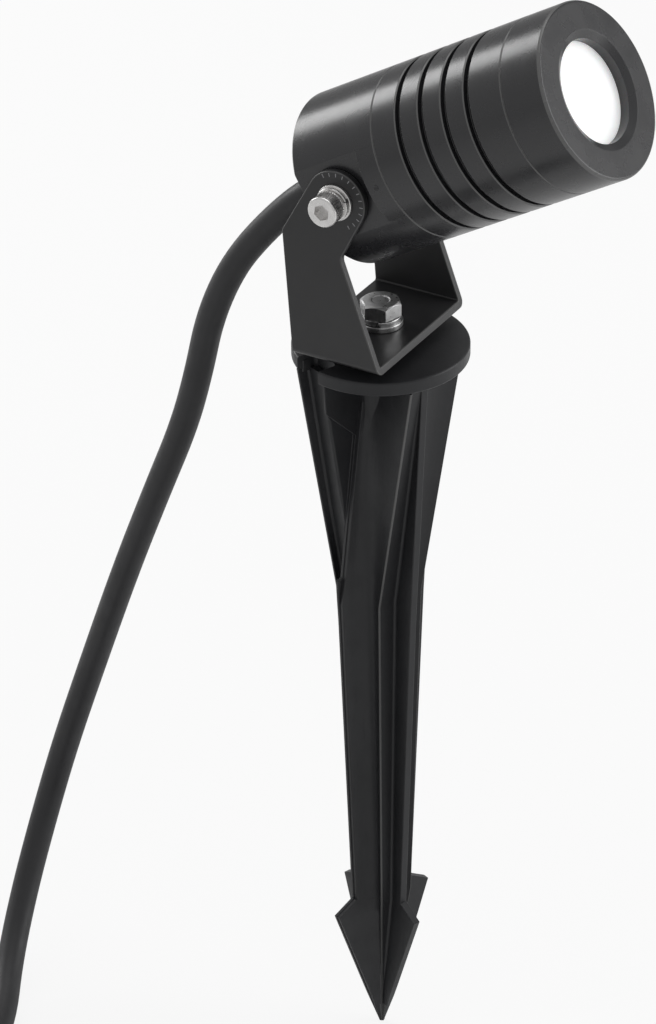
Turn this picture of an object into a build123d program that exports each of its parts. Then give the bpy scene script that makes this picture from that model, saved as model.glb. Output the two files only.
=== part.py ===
"""Garden spike spotlight: turned lamp head in a folded yoke on a moulded ground spike.

Millimetres. The origin is the centre of the flange's underside, which rests on the
ground; +Z points up, +X is the way the head faces and Y runs along the tilt pivot.
The spike reaches down from the origin, and the lead lies level with the spike's tip.
"""

import os
from math import acos, atan2, cos, degrees, hypot, pi, radians, sin, sqrt, tan

from build123d import *

# Clearances
SLIP = 0.1  # between pieces that slide together and are then held
RUNNING = 0.2  # between the yoke's ears and the flats of the head
THREAD = 0.05  # between a screw and its thread, and under a seat that turns
PIN_FIT = 0.08  # between a screw and the hole that turns on it

# Ground spike, black moulded plastic
FLANGE_RADIUS = 24.0
FLANGE_THICKNESS = 4.0
FLANGE_EDGE = 0.6
BOSS_RADIUS = 11.0
BOSS_HEIGHT = 3.0
SPIKE_LENGTH = 223.65
SPIKE_TURN = -22.5  # degrees from +X to the first fin
FIN_THICKNESS = 2.2
FIN_TOP_RADIUS = 19.2
FIN_WAIST_RADIUS = 14.2
FIN_WAIST_DEPTH = 80.0
FIN_LOW_RADIUS = 10.4
BARB_ROOT_DEPTH = 175.5
BARB_DEPTH = 179.2
BARB_RADIUS = 16.3
TIP_RADIUS = 0.9
VANE_THICKNESS = 1.1
VANE_OFFSET = 7.3  # from the axis to a vane's middle plane
VANE_TOP_REACH = 22.6
VANE_WAIST_REACH = 9.1
VANE_WAIST_DEPTH = 76.0
VANE_LOW_OFFSET = 6.4
VANE_LOW_REACH = 7.6
VANE_TIP_OFFSET = 0.9
VANE_TIP_REACH = 1.2
CORE_TOP_RADIUS = 8.2
CORE_WAIST_RADIUS = 6.4
CORE_WAIST_DEPTH = 18.0
CORE_LOW_RADIUS = 2.4
CORE_DEPTH = 60.0
WINDOW_TOP_RADIUS = 8.6  # the lead's way through one fin
WINDOW_TOP_DEPTH = 22.3
WINDOW_TOP_SLOPE = 44.0  # degrees, rising outwards
WINDOW_LOW_RADIUS = 13.4
WINDOW_LOW_DEPTH = 66.0
WINDOW_LEDGE_SLOPE = 20.0  # degrees, falling outwards
NOTCH_WIDTH = 9.8  # the lead's way through the flange
NOTCH_RADIUS = 17.4
NOTCH_TURN = -3.5  # degrees from the fin with the window
HOOK_WIDTH = 2.6
HOOK_LENGTH = 3.6
HOOK_HEIGHT = 3.4

# Swivel bolt, M6
SWIVEL_THREAD = 6.0
SWIVEL_HEAD_FLATS = 10.0
SWIVEL_HEAD_HEIGHT = 4.0
SWIVEL_LENGTH = 25.0
SWIVEL_WASHER_DIAMETER = 12.0
SWIVEL_WASHER_THICKNESS = 1.6
SWIVEL_SPRING_DIAMETER = 11.0
SWIVEL_SPRING_THICKNESS = 1.6
INSERT_DIAMETER = 9.0
INSERT_LENGTH = 12.0
INSERT_COLLAR = 10.4

# Yoke, folded sheet
SHEET = 2.0
BEND_OUTSIDE = 2.2
BEND_INSIDE = 0.5
PIVOT_HEIGHT = 55.5
EAR_RADIUS = 8.5
EAR_FOOT_HALF = 13.5
EAR_HEEL = (-16.35, -12.0)  # outer corner at the rear, from the pivot
EAR_HEEL_ROUND = 2.0
EAR_NECK = (1.1, -16.6)  # inner corner at the front, from the pivot
EAR_NECK_ROUND = 3.0

# Lamp head, turned aluminium; stations run forward from the pivot along its axis
HEAD_TILT = 30.2  # degrees above level
HEAD_RADIUS = 23.5
HEAD_REAR = -10.0
HEAD_SEAM = 17.3
BEZEL_SEAM = 60.0
HEAD_FRONT = 72.7
REAR_EDGE = 0.5
FRONT_EDGE = 0.8
SEAM_CHAMFER = 0.3
FLAT_HALF_WIDTH = HEAD_RADIUS - 2.4
FLAT_END = 11.2
REAR_WALL = 4.5
CAVITY_RADIUS = HEAD_RADIUS - 8.5
SPIGOT_RADIUS = HEAD_RADIUS - 4.5
SPIGOT_LENGTH = 6.8
GROOVE_FIRST = 26.1
GROOVE_PITCH = 7.57
GROOVE_COUNT = 4
GROOVE_WIDTH = 1.8
GROOVE_DEPTH = 2.4
GROOVE_CHAMFER = 0.3
WEB_STATION = 44.0
WEB_THICKNESS = 4.0
CHAMBER_RADIUS = HEAD_RADIUS - 8.0
LENS_DEPTH = 4.0
LENS_THICKNESS = 3.0
LENS_RADIUS = HEAD_RADIUS - 6.4
GASKET_THICKNESS = 1.4
BEZEL_SPIGOT_RADIUS = HEAD_RADIUS - 3.5
MOUTH_RADIUS = HEAD_RADIUS - 9.75
MOUTH_CHAMFER = 2.05
MOUTH_CHAMFER_DEPTH = 1.15
RING_SECTION = 0.65
WIRE_HOLE_RADIUS = 1.6
WIRE_HOLE_INSET = 5.0
INDEX_STATION = 12.8  # drilled mark that points at the ear's scale
INDEX_RADIUS = 0.8
INDEX_DEPTH = 0.7

# Pivot screws, M5 socket cap
PIVOT_THREAD = 5.0
PIVOT_HEAD_DIAMETER = 8.5
PIVOT_HEAD_HEIGHT = 5.0
PIVOT_LENGTH = 10.0
PIVOT_SOCKET_FLATS = 4.0
PIVOT_SOCKET_DEPTH = 2.6
PIVOT_WASHER_DIAMETER = 10.0
PIVOT_WASHER_THICKNESS = 1.0
PIVOT_SPRING_DIAMETER = 9.2
PIVOT_SPRING_THICKNESS = 1.3
SPRING_SPLIT = 1.0

# Lamp inside
BOARD_RADIUS = 13.0
BOARD_THICKNESS = 1.6
EMITTER_SIDE = 13.5
EMITTER_THICKNESS = 0.8
EMITTER_DOME_RADIUS = 4.6
EMITTER_DOME_HEIGHT = 0.5
REFLECTOR_THROAT = 6.0
REFLECTOR_WALL = 0.8
REFLECTOR_LIP = 1.0
DRIVER_LENGTH = 42.0
DRIVER_DROP = 5.0
DRIVER_THICKNESS = 1.6
TRANSFORMER_SIZE = (11.0, 15.0, 13.0)
CAPACITOR_RADIUS = 4.0
CAPACITOR_LENGTH = 12.0
CHOKE_RADIUS = 3.5
CHOKE_HEIGHT = 7.0

# Lead and gland
LEAD_DIAMETER = 8.0
GLAND_THREAD = 12.0
GLAND_FLATS = 15.0
GLAND_COLLAR = 2.6
GLAND_NUT_LENGTH = 4.9
GLAND_NUT_NOSE = 11.0
GLAND_SEAL_LENGTH = 3.0
GLAND_BORE = 0.3
TAIL_LENGTH = 2.5
LEAD_EXIT = 9.0  # straight run out of the gland
LEAD_ROUTE = [
    (-35.1, 0.0, 29.3),
    (-45.9, 0.0, 14.8),
    (-53.7, 0.0, -3.0),
    (-57.8, 0.0, -21.5),
    (-63.1, 0.0, -40.0),
    (-72.9, 0.0, -64.0),
    (-84.6, 0.0, -94.0),
    (-97.0, -0.8, -129.8),
    (-104.9, -4.6, -157.0),
    (-108.8, -11.8, -180.0),
    (-108.2, -25.0, -199.2),
    (-102.8, -42.2, -212.6),
    (-93.2, -60.6, -218.7),
    (-87.0, -80.0, -218.7),
    (-87.0, -108.0, -218.7),
]
BEND_SHARE = 0.45  # of the shorter run, taken by each bend

# Coil of the lead's spare length, level with the tip of the spike
COIL_RADIUS = 50.6
COIL_PITCH = 8.5
COIL_LAYER_TURNS = 2
COIL_TURNS = 4.25
COIL_STEPS = 4  # per turn
TIE_CLEARANCE = 0.12
TIE_THICKNESS = 0.8
TIE_WIDTH = 5.0
TIE_ROUND = 3.0
TIE_HEAD = (6.0, 6.5, 4.0)

# Earthed mains plug
PLUG_RADIUS = 18.5
PLUG_FACE_LENGTH = 20.0
PLUG_GRIP_LENGTH = 20.0
PLUG_NECK_RADIUS = 8.5
PLUG_RELIEF_LENGTH = 22.0
PLUG_RELIEF_RADIUS = 6.8
PLUG_RELIEF_NOSE = 5.2
PLUG_RELIEF_RIBS = 4
PLUG_RELIEF_RIB_WIDTH = 2.0
PLUG_RELIEF_RIB_DEPTH = 0.9
PLUG_PIN_DIAMETER = 4.8
PLUG_PIN_LENGTH = 19.0
PLUG_PIN_SPACING = 19.0
PLUG_PIN_SEAT = 6.0
PLUG_PIN_SHANK = 4.2  # the part of a pin that is held in the plug
PLUG_PIN_COLLAR = 0.3  # the shank shows this far before the full pin starts
EARTH_WIDTH = 6.0
EARTH_THICKNESS = 1.0
EARTH_LENGTH = 14.0
EARTH_RECESS = 2.2

# Places worked out from the sizes above
BOSS_TOP = FLANGE_THICKNESS + BOSS_HEIGHT
YOKE_BASE = BOSS_TOP + THREAD
YOKE_INSIDE_HALF = FLAT_HALF_WIDTH + RUNNING
YOKE_OUTSIDE_HALF = YOKE_INSIDE_HALF + SHEET
SWIVEL_SEAT = YOKE_BASE + SHEET
LENS_FACE = HEAD_FRONT - LENS_DEPTH
LENS_BACK = LENS_FACE - LENS_THICKNESS
GASKET_BACK = LENS_BACK - GASKET_THICKNESS
CHAMBER_FLOOR = WEB_STATION + WEB_THICKNESS
GROUND_UNDER_LEAD = -SPIKE_LENGTH
COIL_BASE = LEAD_ROUTE[-1][2]
HEAD_PLACE = Location((0, 0, PIVOT_HEIGHT), (0, 90 - HEAD_TILT, 0))
GLAND_NOSE = HEAD_REAR - GLAND_COLLAR - GLAND_NUT_LENGTH


def turned(profile):
    """Solid turned about Z from corners given as (radius, height)."""
    return revolve(Plane.XZ * make_face(Polyline(*profile, close=True)), Axis.Z)


def slab(profile, thickness):
    """Plate in the XZ plane from corners given as (x, z), centred on y = 0."""
    face = Plane.XZ * make_face(Polyline(*profile, close=True))
    return extrude(face, thickness / 2, both=True)


def tube(outer, inner, low, high):
    """Plain ring about Z."""
    return turned([(inner, low), (outer, low), (outer, high), (inner, high)])


def hexagon(flats, low, high):
    """Six-sided bar about Z, with corners towards +X and -X."""
    face = RegularPolygon(flats / 2, 6, major_radius=False)
    return extrude(Pos(0, 0, low) * face, high - low)


def split_ring(outer, inner, low, high):
    """Spring lock washer about Z with its split at +X."""
    split = Pos((outer + inner) / 2, 0, (low + high) / 2)
    cut = Box(outer, SPRING_SPLIT, 2 * (high - low), rotation=(35, 0, 0))
    return tube(outer, inner, low, high) - split * cut


# ---------------------------------------------------------------- ground spike


def fin_profile():
    """Outline of one radial fin, as (radius, height)."""
    return [
        (0, 0),
        (FIN_TOP_RADIUS, 0),
        (FIN_WAIST_RADIUS, -FIN_WAIST_DEPTH),
        (FIN_LOW_RADIUS, -BARB_ROOT_DEPTH),
        (BARB_RADIUS, -BARB_DEPTH),
        (TIP_RADIUS, -SPIKE_LENGTH),
        (0, -SPIKE_LENGTH),
    ]


def vane_section(offset, reach, depth, thickness):
    """Cross-section of one thin vane at a depth, beside the fin along +X."""
    face = Pos(reach / 2, offset) * Rectangle(reach, thickness)
    return Pos(0, 0, -depth) * face


def vane():
    """Thin vane parallel to the +X fin and rooted on the +Y fin."""
    sections = [
        vane_section(VANE_OFFSET, VANE_TOP_REACH, 0, VANE_THICKNESS),
        vane_section(VANE_OFFSET, VANE_WAIST_REACH, VANE_WAIST_DEPTH, VANE_THICKNESS),
        vane_section(VANE_LOW_OFFSET, VANE_LOW_REACH, BARB_DEPTH, VANE_THICKNESS),
        vane_section(VANE_TIP_OFFSET, VANE_TIP_REACH, SPIKE_LENGTH - 1, VANE_THICKNESS),
    ]
    return loft(sections, ruled=True)


def fin_window():
    """Opening that lets the lead through one fin, cut from outside."""
    outside = FLANGE_RADIUS + 1
    rise = (outside - WINDOW_TOP_RADIUS) * tan(radians(WINDOW_TOP_SLOPE))
    fall = (outside - WINDOW_LOW_RADIUS) * tan(radians(WINDOW_LEDGE_SLOPE))
    corners = [
        (WINDOW_TOP_RADIUS, -WINDOW_TOP_DEPTH),
        (outside, rise - WINDOW_TOP_DEPTH),
        (outside, -WINDOW_LOW_DEPTH - fall),
        (WINDOW_LOW_RADIUS, -WINDOW_LOW_DEPTH),
    ]
    return slab(corners, FIN_THICKNESS + 1)


def make_spike():
    """Moulded spike: flange, boss, cross of fins, side vanes, barbs and cable ways."""
    flange = Cylinder(FLANGE_RADIUS, FLANGE_THICKNESS, align=(Align.CENTER, Align.CENTER, Align.MIN))
    flange = fillet(flange.edges().filter_by(GeomType.CIRCLE), FLANGE_EDGE)
    boss = tube(BOSS_RADIUS, SWIVEL_THREAD / 2, 0, BOSS_TOP)
    core = turned(
        [
            (0, 0),
            (CORE_TOP_RADIUS, 0),
            (CORE_WAIST_RADIUS, -CORE_WAIST_DEPTH),
            (CORE_LOW_RADIUS, -CORE_DEPTH),
            (0, -CORE_DEPTH),
        ]
    )
    cut_fin = slab(fin_profile(), FIN_THICKNESS) - fin_window()
    body = flange + boss + core
    for quarter in range(4):
        fin = cut_fin if quarter == 3 else slab(fin_profile(), FIN_THICKNESS)
        body += Rot(0, 0, 90 * quarter) * fin
        body += Rot(0, 0, 90 * quarter) * mirror(vane(), Plane.XZ)
    notch_reach = FLANGE_RADIUS + 1 - NOTCH_RADIUS
    notch = Pos(NOTCH_RADIUS + notch_reach / 2, 0, YOKE_BASE / 2 - 0.01) * Box(
        notch_reach, NOTCH_WIDTH, YOKE_BASE
    )
    body -= Rot(0, 0, 270 + NOTCH_TURN) * notch
    hook = Pos(
        VANE_TOP_REACH - HOOK_LENGTH / 2 - 1.0, -VANE_OFFSET, HOOK_HEIGHT / 2 - 1.0
    ) * Box(HOOK_LENGTH, HOOK_WIDTH, HOOK_HEIGHT + 2.0)
    body += Rot(0, 0, 270) * hook
    insert_hole = Pos(0, 0, BOSS_TOP - INSERT_LENGTH / 2) * Cylinder(
        INSERT_DIAMETER / 2 + SLIP, INSERT_LENGTH + 2 * SLIP
    )
    bolt_end = SWIVEL_SEAT + SWIVEL_WASHER_THICKNESS + SWIVEL_SPRING_THICKNESS - SWIVEL_LENGTH
    hole_depth = BOSS_TOP - bolt_end + 2
    bolt_hole = Pos(0, 0, BOSS_TOP - hole_depth / 2 + 1) * Cylinder(
        SWIVEL_THREAD / 2 + SLIP, hole_depth + 2
    )
    body -= insert_hole + bolt_hole
    return Rot(0, 0, SPIKE_TURN) * body


def make_thread_insert():
    """Brass threaded insert moulded into the boss."""
    top = BOSS_TOP - SLIP
    return tube(INSERT_DIAMETER / 2, SWIVEL_THREAD / 2 + THREAD, top - INSERT_LENGTH + SLIP, top)


def make_swivel_bolt():
    """Hexagon bolt that clamps the yoke to the spike."""
    seat = SWIVEL_SEAT + SWIVEL_WASHER_THICKNESS + SWIVEL_SPRING_THICKNESS
    shank = turned(
        [
            (0, seat - SWIVEL_LENGTH),
            (SWIVEL_THREAD / 2 - 0.6, seat - SWIVEL_LENGTH),
            (SWIVEL_THREAD / 2, seat - SWIVEL_LENGTH + 0.8),
            (SWIVEL_THREAD / 2, seat),
            (0, seat),
        ]
    )
    head = hexagon(SWIVEL_HEAD_FLATS, seat, seat + SWIVEL_HEAD_HEIGHT)
    corner = SWIVEL_HEAD_FLATS / sqrt(3)
    crown = turned(
        [
            (0, seat - 1),
            (corner + 0.1, seat - 1),
            (corner + 0.1, seat + SWIVEL_HEAD_HEIGHT - 0.5),
            (SWIVEL_HEAD_FLATS / 2 - 0.3, seat + SWIVEL_HEAD_HEIGHT),
            (0, seat + SWIVEL_HEAD_HEIGHT),
        ]
    )
    return shank + (head & crown)


def make_swivel_flat_washer():
    """Plain washer on the yoke's base."""
    return tube(
        SWIVEL_WASHER_DIAMETER / 2,
        SWIVEL_THREAD / 2 + 2 * SLIP,
        SWIVEL_SEAT + THREAD,
        SWIVEL_SEAT + SWIVEL_WASHER_THICKNESS,
    )


def make_swivel_spring_washer():
    """Spring lock washer under the hexagon head."""
    low = SWIVEL_SEAT + SWIVEL_WASHER_THICKNESS
    return split_ring(
        SWIVEL_SPRING_DIAMETER / 2,
        SWIVEL_THREAD / 2 + SLIP,
        low,
        low + SWIVEL_SPRING_THICKNESS,
    )


# ------------------------------------------------------------------------ yoke


def tangent_point(corner, side):
    """Where the line from a corner touches the ear's round head."""
    away = hypot(*corner)
    turn = atan2(corner[1], corner[0]) + side * acos(EAR_RADIUS / away)
    return (EAR_RADIUS * cos(turn), EAR_RADIUS * sin(turn))


def ear_outline():
    """Face of one ear in the XZ plane, measured from the pivot."""
    foot = YOKE_BASE - PIVOT_HEIGHT
    rear = tangent_point(EAR_HEEL, -1)
    front = tangent_point(EAR_NECK, 1)
    rear_foot = (-EAR_FOOT_HALF, foot)
    front_foot = (EAR_FOOT_HALF, foot)
    edges = [
        Line(front_foot, rear_foot),
        Line(rear_foot, EAR_HEEL),
        Line(EAR_HEEL, rear),
        ThreePointArc(rear, (0, EAR_RADIUS), front),
        Line(front, EAR_NECK),
        Line(EAR_NECK, front_foot),
    ]
    face = make_face(edges)
    for corner, radius in ((EAR_HEEL, EAR_HEEL_ROUND), (EAR_NECK, EAR_NECK_ROUND)):
        vertex = face.vertices().sort_by_distance(Vector(*corner, 0))[0]
        face = fillet(vertex, radius)
    return face


def make_yoke():
    """Yoke folded from flat sheet: a base on the boss and two ears at the pivot."""
    high = PIVOT_HEIGHT + EAR_RADIUS + 1 - YOKE_BASE
    outside = Pos(0, high / 2) * Rectangle(2 * YOKE_OUTSIDE_HALF, high)
    outside = fillet(outside.vertices().group_by(Axis.Y)[0], BEND_OUTSIDE)
    inside = Pos(0, high / 2 + SHEET) * Rectangle(2 * YOKE_INSIDE_HALF, high)
    inside = fillet(inside.vertices().group_by(Axis.Y)[0], BEND_INSIDE)
    channel = Plane.YZ * Pos(0, YOKE_BASE) * (outside - inside)
    channel = extrude(channel, 2 * EAR_FOOT_HALF, both=True)
    ears = extrude(Plane.XZ * Pos(0, PIVOT_HEIGHT) * ear_outline(), YOKE_OUTSIDE_HALF + 1, both=True)
    swivel_hole = Pos(0, 0, YOKE_BASE) * Cylinder(SWIVEL_THREAD / 2 + PIN_FIT, 4 * SHEET)
    pivot_hole = Rot(90, 0, 0) * Cylinder(PIVOT_THREAD / 2 + PIN_FIT, 4 * YOKE_OUTSIDE_HALF)
    pivot_hole = Pos(0, 0, PIVOT_HEIGHT) * pivot_hole
    return (channel & ears) - swivel_hole - pivot_hole


# ------------------------------------------------- lamp head, built along its +Z


def pivot_bore(radius, depth):
    """Two blind holes in from the flats along the pivot."""
    length = depth + 1
    hole = Pos(0, FLAT_HALF_WIDTH + 1 - length / 2, 0) * Rot(90, 0, 0) * Cylinder(radius, length)
    return hole + mirror(hole, Plane.XZ)


def index_dimple():
    """Conical index mark in the near side, between the flat and the seam."""
    cone = turned([(0, -INDEX_DEPTH), (INDEX_RADIUS, 0), (INDEX_RADIUS, 1), (0, 1)])
    return Pos(0, -HEAD_RADIUS, INDEX_STATION) * Rot(90, 0, 0) * cone


def make_rear_housing():
    """Rear can with two flats for the yoke, pivot threads and the gland hole."""
    inner_end = HEAD_SEAM - SPIGOT_LENGTH - SLIP
    can = turned(
        [
            (GLAND_THREAD / 2 + THREAD, HEAD_REAR),
            (HEAD_RADIUS - REAR_EDGE, HEAD_REAR),
            (HEAD_RADIUS, HEAD_REAR + REAR_EDGE),
            (HEAD_RADIUS, HEAD_SEAM - SEAM_CHAMFER),
            (HEAD_RADIUS - SEAM_CHAMFER, HEAD_SEAM),
            (SPIGOT_RADIUS, HEAD_SEAM),
            (SPIGOT_RADIUS, inner_end),
            (CAVITY_RADIUS, inner_end),
            (CAVITY_RADIUS, HEAD_REAR + REAR_WALL),
            (GLAND_THREAD / 2 + THREAD, HEAD_REAR + REAR_WALL),
        ]
    )
    flat_length = FLAT_END - HEAD_REAR + 1
    flat_cut = Box(2 * HEAD_RADIUS, HEAD_RADIUS, flat_length)
    for side in (-1, 1):
        can -= Pos(0, side * (FLAT_HALF_WIDTH + HEAD_RADIUS / 2), FLAT_END - flat_length / 2) * flat_cut
    screw_depth = PIVOT_LENGTH - PIVOT_SPRING_THICKNESS - PIVOT_WASHER_THICKNESS - SHEET
    can -= pivot_bore(PIVOT_THREAD / 2 + THREAD, screw_depth)
    return can - index_dimple()


def barrel_profile():
    """Half section of the finned barrel, as (radius, station)."""
    outer = [(HEAD_RADIUS - SEAM_CHAMFER, HEAD_SEAM), (HEAD_RADIUS, HEAD_SEAM + SEAM_CHAMFER)]
    for index in range(GROOVE_COUNT):
        middle = GROOVE_FIRST + index * GROOVE_PITCH
        low = middle - GROOVE_WIDTH / 2
        high = middle + GROOVE_WIDTH / 2
        outer += [
            (HEAD_RADIUS, low - GROOVE_CHAMFER),
            (HEAD_RADIUS - GROOVE_CHAMFER, low),
            (HEAD_RADIUS - GROOVE_DEPTH, low),
            (HEAD_RADIUS - GROOVE_DEPTH, high),
            (HEAD_RADIUS - GROOVE_CHAMFER, high),
            (HEAD_RADIUS, high + GROOVE_CHAMFER),
        ]
    outer += [(HEAD_RADIUS, BEZEL_SEAM - SEAM_CHAMFER), (HEAD_RADIUS - SEAM_CHAMFER, BEZEL_SEAM)]
    return outer


def ring_groove(radius, middle):
    """Corners of a sealing ring's groove on a spigot of the given radius."""
    half = RING_SECTION + SLIP
    deep = radius - 2 * RING_SECTION - SLIP
    return [(radius, middle - half), (deep, middle - half), (deep, middle + half), (radius, middle + half)]


def make_finned_barrel():
    """Heat-sink barrel: cooling grooves outside, driver room and lamp chamber inside."""
    rear = HEAD_SEAM - SPIGOT_LENGTH
    spigot = SPIGOT_RADIUS - SLIP
    front_spigot = BEZEL_SPIGOT_RADIUS - SLIP
    front = LENS_FACE - 2 * SLIP
    rear_ring = ring_groove(spigot, HEAD_SEAM - SPIGOT_LENGTH / 2)
    front_ring = ring_groove(front_spigot, BEZEL_SEAM + 2.2)
    profile = [(CAVITY_RADIUS, rear), (spigot, rear)] + rear_ring + [(spigot, HEAD_SEAM)]
    profile += barrel_profile()
    profile += [(front_spigot, BEZEL_SEAM)] + front_ring + [(front_spigot, front)]
    profile += [
        (LENS_RADIUS + SLIP, front),
        (LENS_RADIUS + SLIP, GASKET_BACK),
        (CHAMBER_RADIUS, GASKET_BACK),
        (CHAMBER_RADIUS, CHAMBER_FLOOR),
        (0, CHAMBER_FLOOR),
        (0, WEB_STATION),
        (CAVITY_RADIUS, WEB_STATION),
    ]
    wire_hole = Cylinder(WIRE_HOLE_RADIUS, 2 * WEB_THICKNESS)
    wire_hole = Pos(CAVITY_RADIUS - WIRE_HOLE_INSET, 0, WEB_STATION + WEB_THICKNESS / 2) * wire_hole
    return turned(profile) - wire_hole


def make_front_bezel():
    """Screwed ring that holds the lens, with a chamfered mouth."""
    return turned(
        [
            (BEZEL_SPIGOT_RADIUS, BEZEL_SEAM),
            (HEAD_RADIUS - SEAM_CHAMFER, BEZEL_SEAM),
            (HEAD_RADIUS, BEZEL_SEAM + SEAM_CHAMFER),
            (HEAD_RADIUS, HEAD_FRONT - FRONT_EDGE),
            (HEAD_RADIUS - FRONT_EDGE * 0.3, HEAD_FRONT - FRONT_EDGE * 0.3),
            (HEAD_RADIUS - FRONT_EDGE, HEAD_FRONT),
            (MOUTH_RADIUS + MOUTH_CHAMFER, HEAD_FRONT),
            (MOUTH_RADIUS, HEAD_FRONT - MOUTH_CHAMFER_DEPTH),
            (MOUTH_RADIUS, LENS_FACE + THREAD),
            (BEZEL_SPIGOT_RADIUS, LENS_FACE + THREAD),
        ]
    )


def make_front_lens():
    """Frosted lens disc behind the mouth."""
    return turned([(0, LENS_BACK), (LENS_RADIUS, LENS_BACK), (LENS_RADIUS, LENS_FACE), (0, LENS_FACE)])


def make_lens_gasket():
    """Flat silicone ring that seals the lens."""
    return tube(LENS_RADIUS, CHAMBER_RADIUS, GASKET_BACK + THREAD, LENS_BACK)


def sealing_ring(radius, middle):
    """Rubber ring in the groove of a spigot of the given radius."""
    centre = radius - RING_SECTION - SLIP / 2
    return Pos(0, 0, middle) * Torus(centre, RING_SECTION)


def make_barrel_seal():
    """Ring between the rear can and the barrel."""
    return sealing_ring(SPIGOT_RADIUS - SLIP, HEAD_SEAM - SPIGOT_LENGTH / 2)


def make_bezel_seal():
    """Ring between the barrel and the bezel."""
    return sealing_ring(BEZEL_SPIGOT_RADIUS - SLIP, BEZEL_SEAM + 2.2)


def make_led_board():
    """Round metal-core board on the barrel's web."""
    return Pos(0, 0, CHAMBER_FLOOR + THREAD) * Cylinder(
        BOARD_RADIUS, BOARD_THICKNESS, align=(Align.CENTER, Align.CENTER, Align.MIN)
    )


def make_led_emitter():
    """Square light source with its round phosphor window."""
    low = CHAMBER_FLOOR + THREAD + BOARD_THICKNESS
    base = Pos(0, 0, low + EMITTER_THICKNESS / 2) * Box(EMITTER_SIDE, EMITTER_SIDE, EMITTER_THICKNESS)
    window = Pos(0, 0, low + EMITTER_THICKNESS + EMITTER_DOME_HEIGHT / 2) * Cylinder(
        EMITTER_DOME_RADIUS, EMITTER_DOME_HEIGHT
    )
    return base + window


def make_reflector():
    """Bright cone from the light source to the lens."""
    low = CHAMBER_FLOOR + THREAD + BOARD_THICKNESS + EMITTER_THICKNESS + SLIP
    high = GASKET_BACK
    wide = CHAMBER_RADIUS - 2 * SLIP
    return turned(
        [
            (REFLECTOR_THROAT, low),
            (REFLECTOR_THROAT + REFLECTOR_WALL, low),
            (wide - REFLECTOR_WALL, high - 2 * REFLECTOR_LIP),
            (wide, high - REFLECTOR_LIP),
            (wide, high),
            (wide - REFLECTOR_WALL, high),
            (wide - 2 * REFLECTOR_WALL, high - 2 * REFLECTOR_LIP),
        ]
    )


def make_driver_board():
    """Driver's circuit board, its edges in the can and the barrel."""
    half = sqrt(CAVITY_RADIUS**2 - (DRIVER_DROP + DRIVER_THICKNESS) ** 2) - SLIP
    low = WEB_STATION - 1 - DRIVER_LENGTH
    return Pos(DRIVER_DROP + DRIVER_THICKNESS / 2, 0, low + DRIVER_LENGTH / 2) * Box(
        DRIVER_THICKNESS, 2 * half, DRIVER_LENGTH
    )


def make_driver_components():
    """Transformer, capacitor and choke on the driver board."""
    middle = WEB_STATION - 1 - DRIVER_LENGTH / 2
    face = DRIVER_DROP
    high, wide, long = TRANSFORMER_SIZE
    transformer = Pos(face - high / 2, 0, middle) * Box(high, wide, long)
    capacitor = Pos(face - CAPACITOR_RADIUS, 0, middle - long / 2 - 2 - CAPACITOR_LENGTH / 2)
    capacitor *= Cylinder(CAPACITOR_RADIUS, CAPACITOR_LENGTH)
    choke = Pos(face - CHOKE_HEIGHT / 2, 0, middle + long / 2 + 2 + CHOKE_RADIUS)
    choke *= Rot(0, 90, 0) * Cylinder(CHOKE_RADIUS, CHOKE_HEIGHT)
    return Compound([transformer, capacitor, choke])


def make_gland_body():
    """Threaded gland body through the rear wall, with its six-sided collar."""
    bore = LEAD_DIAMETER / 2 + GLAND_BORE
    thread = turned(
        [
            (bore, HEAD_REAR - GLAND_COLLAR),
            (GLAND_THREAD / 2, HEAD_REAR - GLAND_COLLAR),
            (GLAND_THREAD / 2, HEAD_REAR + REAR_WALL + 1),
            (bore, HEAD_REAR + REAR_WALL + 1),
        ]
    )
    collar = hexagon(GLAND_FLATS, HEAD_REAR - GLAND_COLLAR, HEAD_REAR - THREAD)
    bored = Pos(0, 0, HEAD_REAR) * Cylinder(bore, 6 * GLAND_COLLAR)
    return thread + (collar - bored)


def gland_nut_places():
    """Stations of the gland nut's seat, of its shoulder and of its nose."""
    seat = HEAD_REAR - GLAND_COLLAR
    return seat, (seat + GLAND_NOSE) / 2, GLAND_NOSE


def make_gland_nut():
    """Clamping nut of the gland, six-sided at the collar and tapered to the lead."""
    seat, shoulder, nose = gland_nut_places()
    bore = LEAD_DIAMETER / 2 + GLAND_BORE
    hexagonal = hexagon(GLAND_FLATS, shoulder, seat - THREAD)
    cone = turned([(0, nose), (GLAND_NUT_NOSE / 2, nose), (GLAND_FLATS / 2, shoulder), (0, shoulder)])
    room = Pos(0, 0, seat - GLAND_SEAL_LENGTH / 2) * Cylinder(GLAND_THREAD / 2, GLAND_SEAL_LENGTH + SLIP)
    bored = Pos(0, 0, shoulder) * Cylinder(bore, 4 * GLAND_NUT_LENGTH)
    return hexagonal + cone - room - bored


def make_gland_seal():
    """Rubber bush that the gland nut squeezes onto the lead."""
    seat, _, _ = gland_nut_places()
    return tube(
        GLAND_THREAD / 2 - THREAD,
        LEAD_DIAMETER / 2 + THREAD,
        seat - GLAND_SEAL_LENGTH + THREAD,
        seat - THREAD,
    )


def make_cable_tail():
    """Sheathed end of the lead, held in the gland and open to the driver room."""
    _, _, nose = gland_nut_places()
    end = HEAD_REAR + REAR_WALL + 1 + TAIL_LENGTH
    return Pos(0, 0, (nose + end) / 2) * Cylinder(LEAD_DIAMETER / 2, end - nose)


def pivot_seats():
    """Distances from the middle to the washer, the spring and the screw head."""
    washer = YOKE_OUTSIDE_HALF + THREAD
    spring = washer + PIVOT_WASHER_THICKNESS
    return washer, spring, spring + PIVOT_SPRING_THICKNESS


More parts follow.
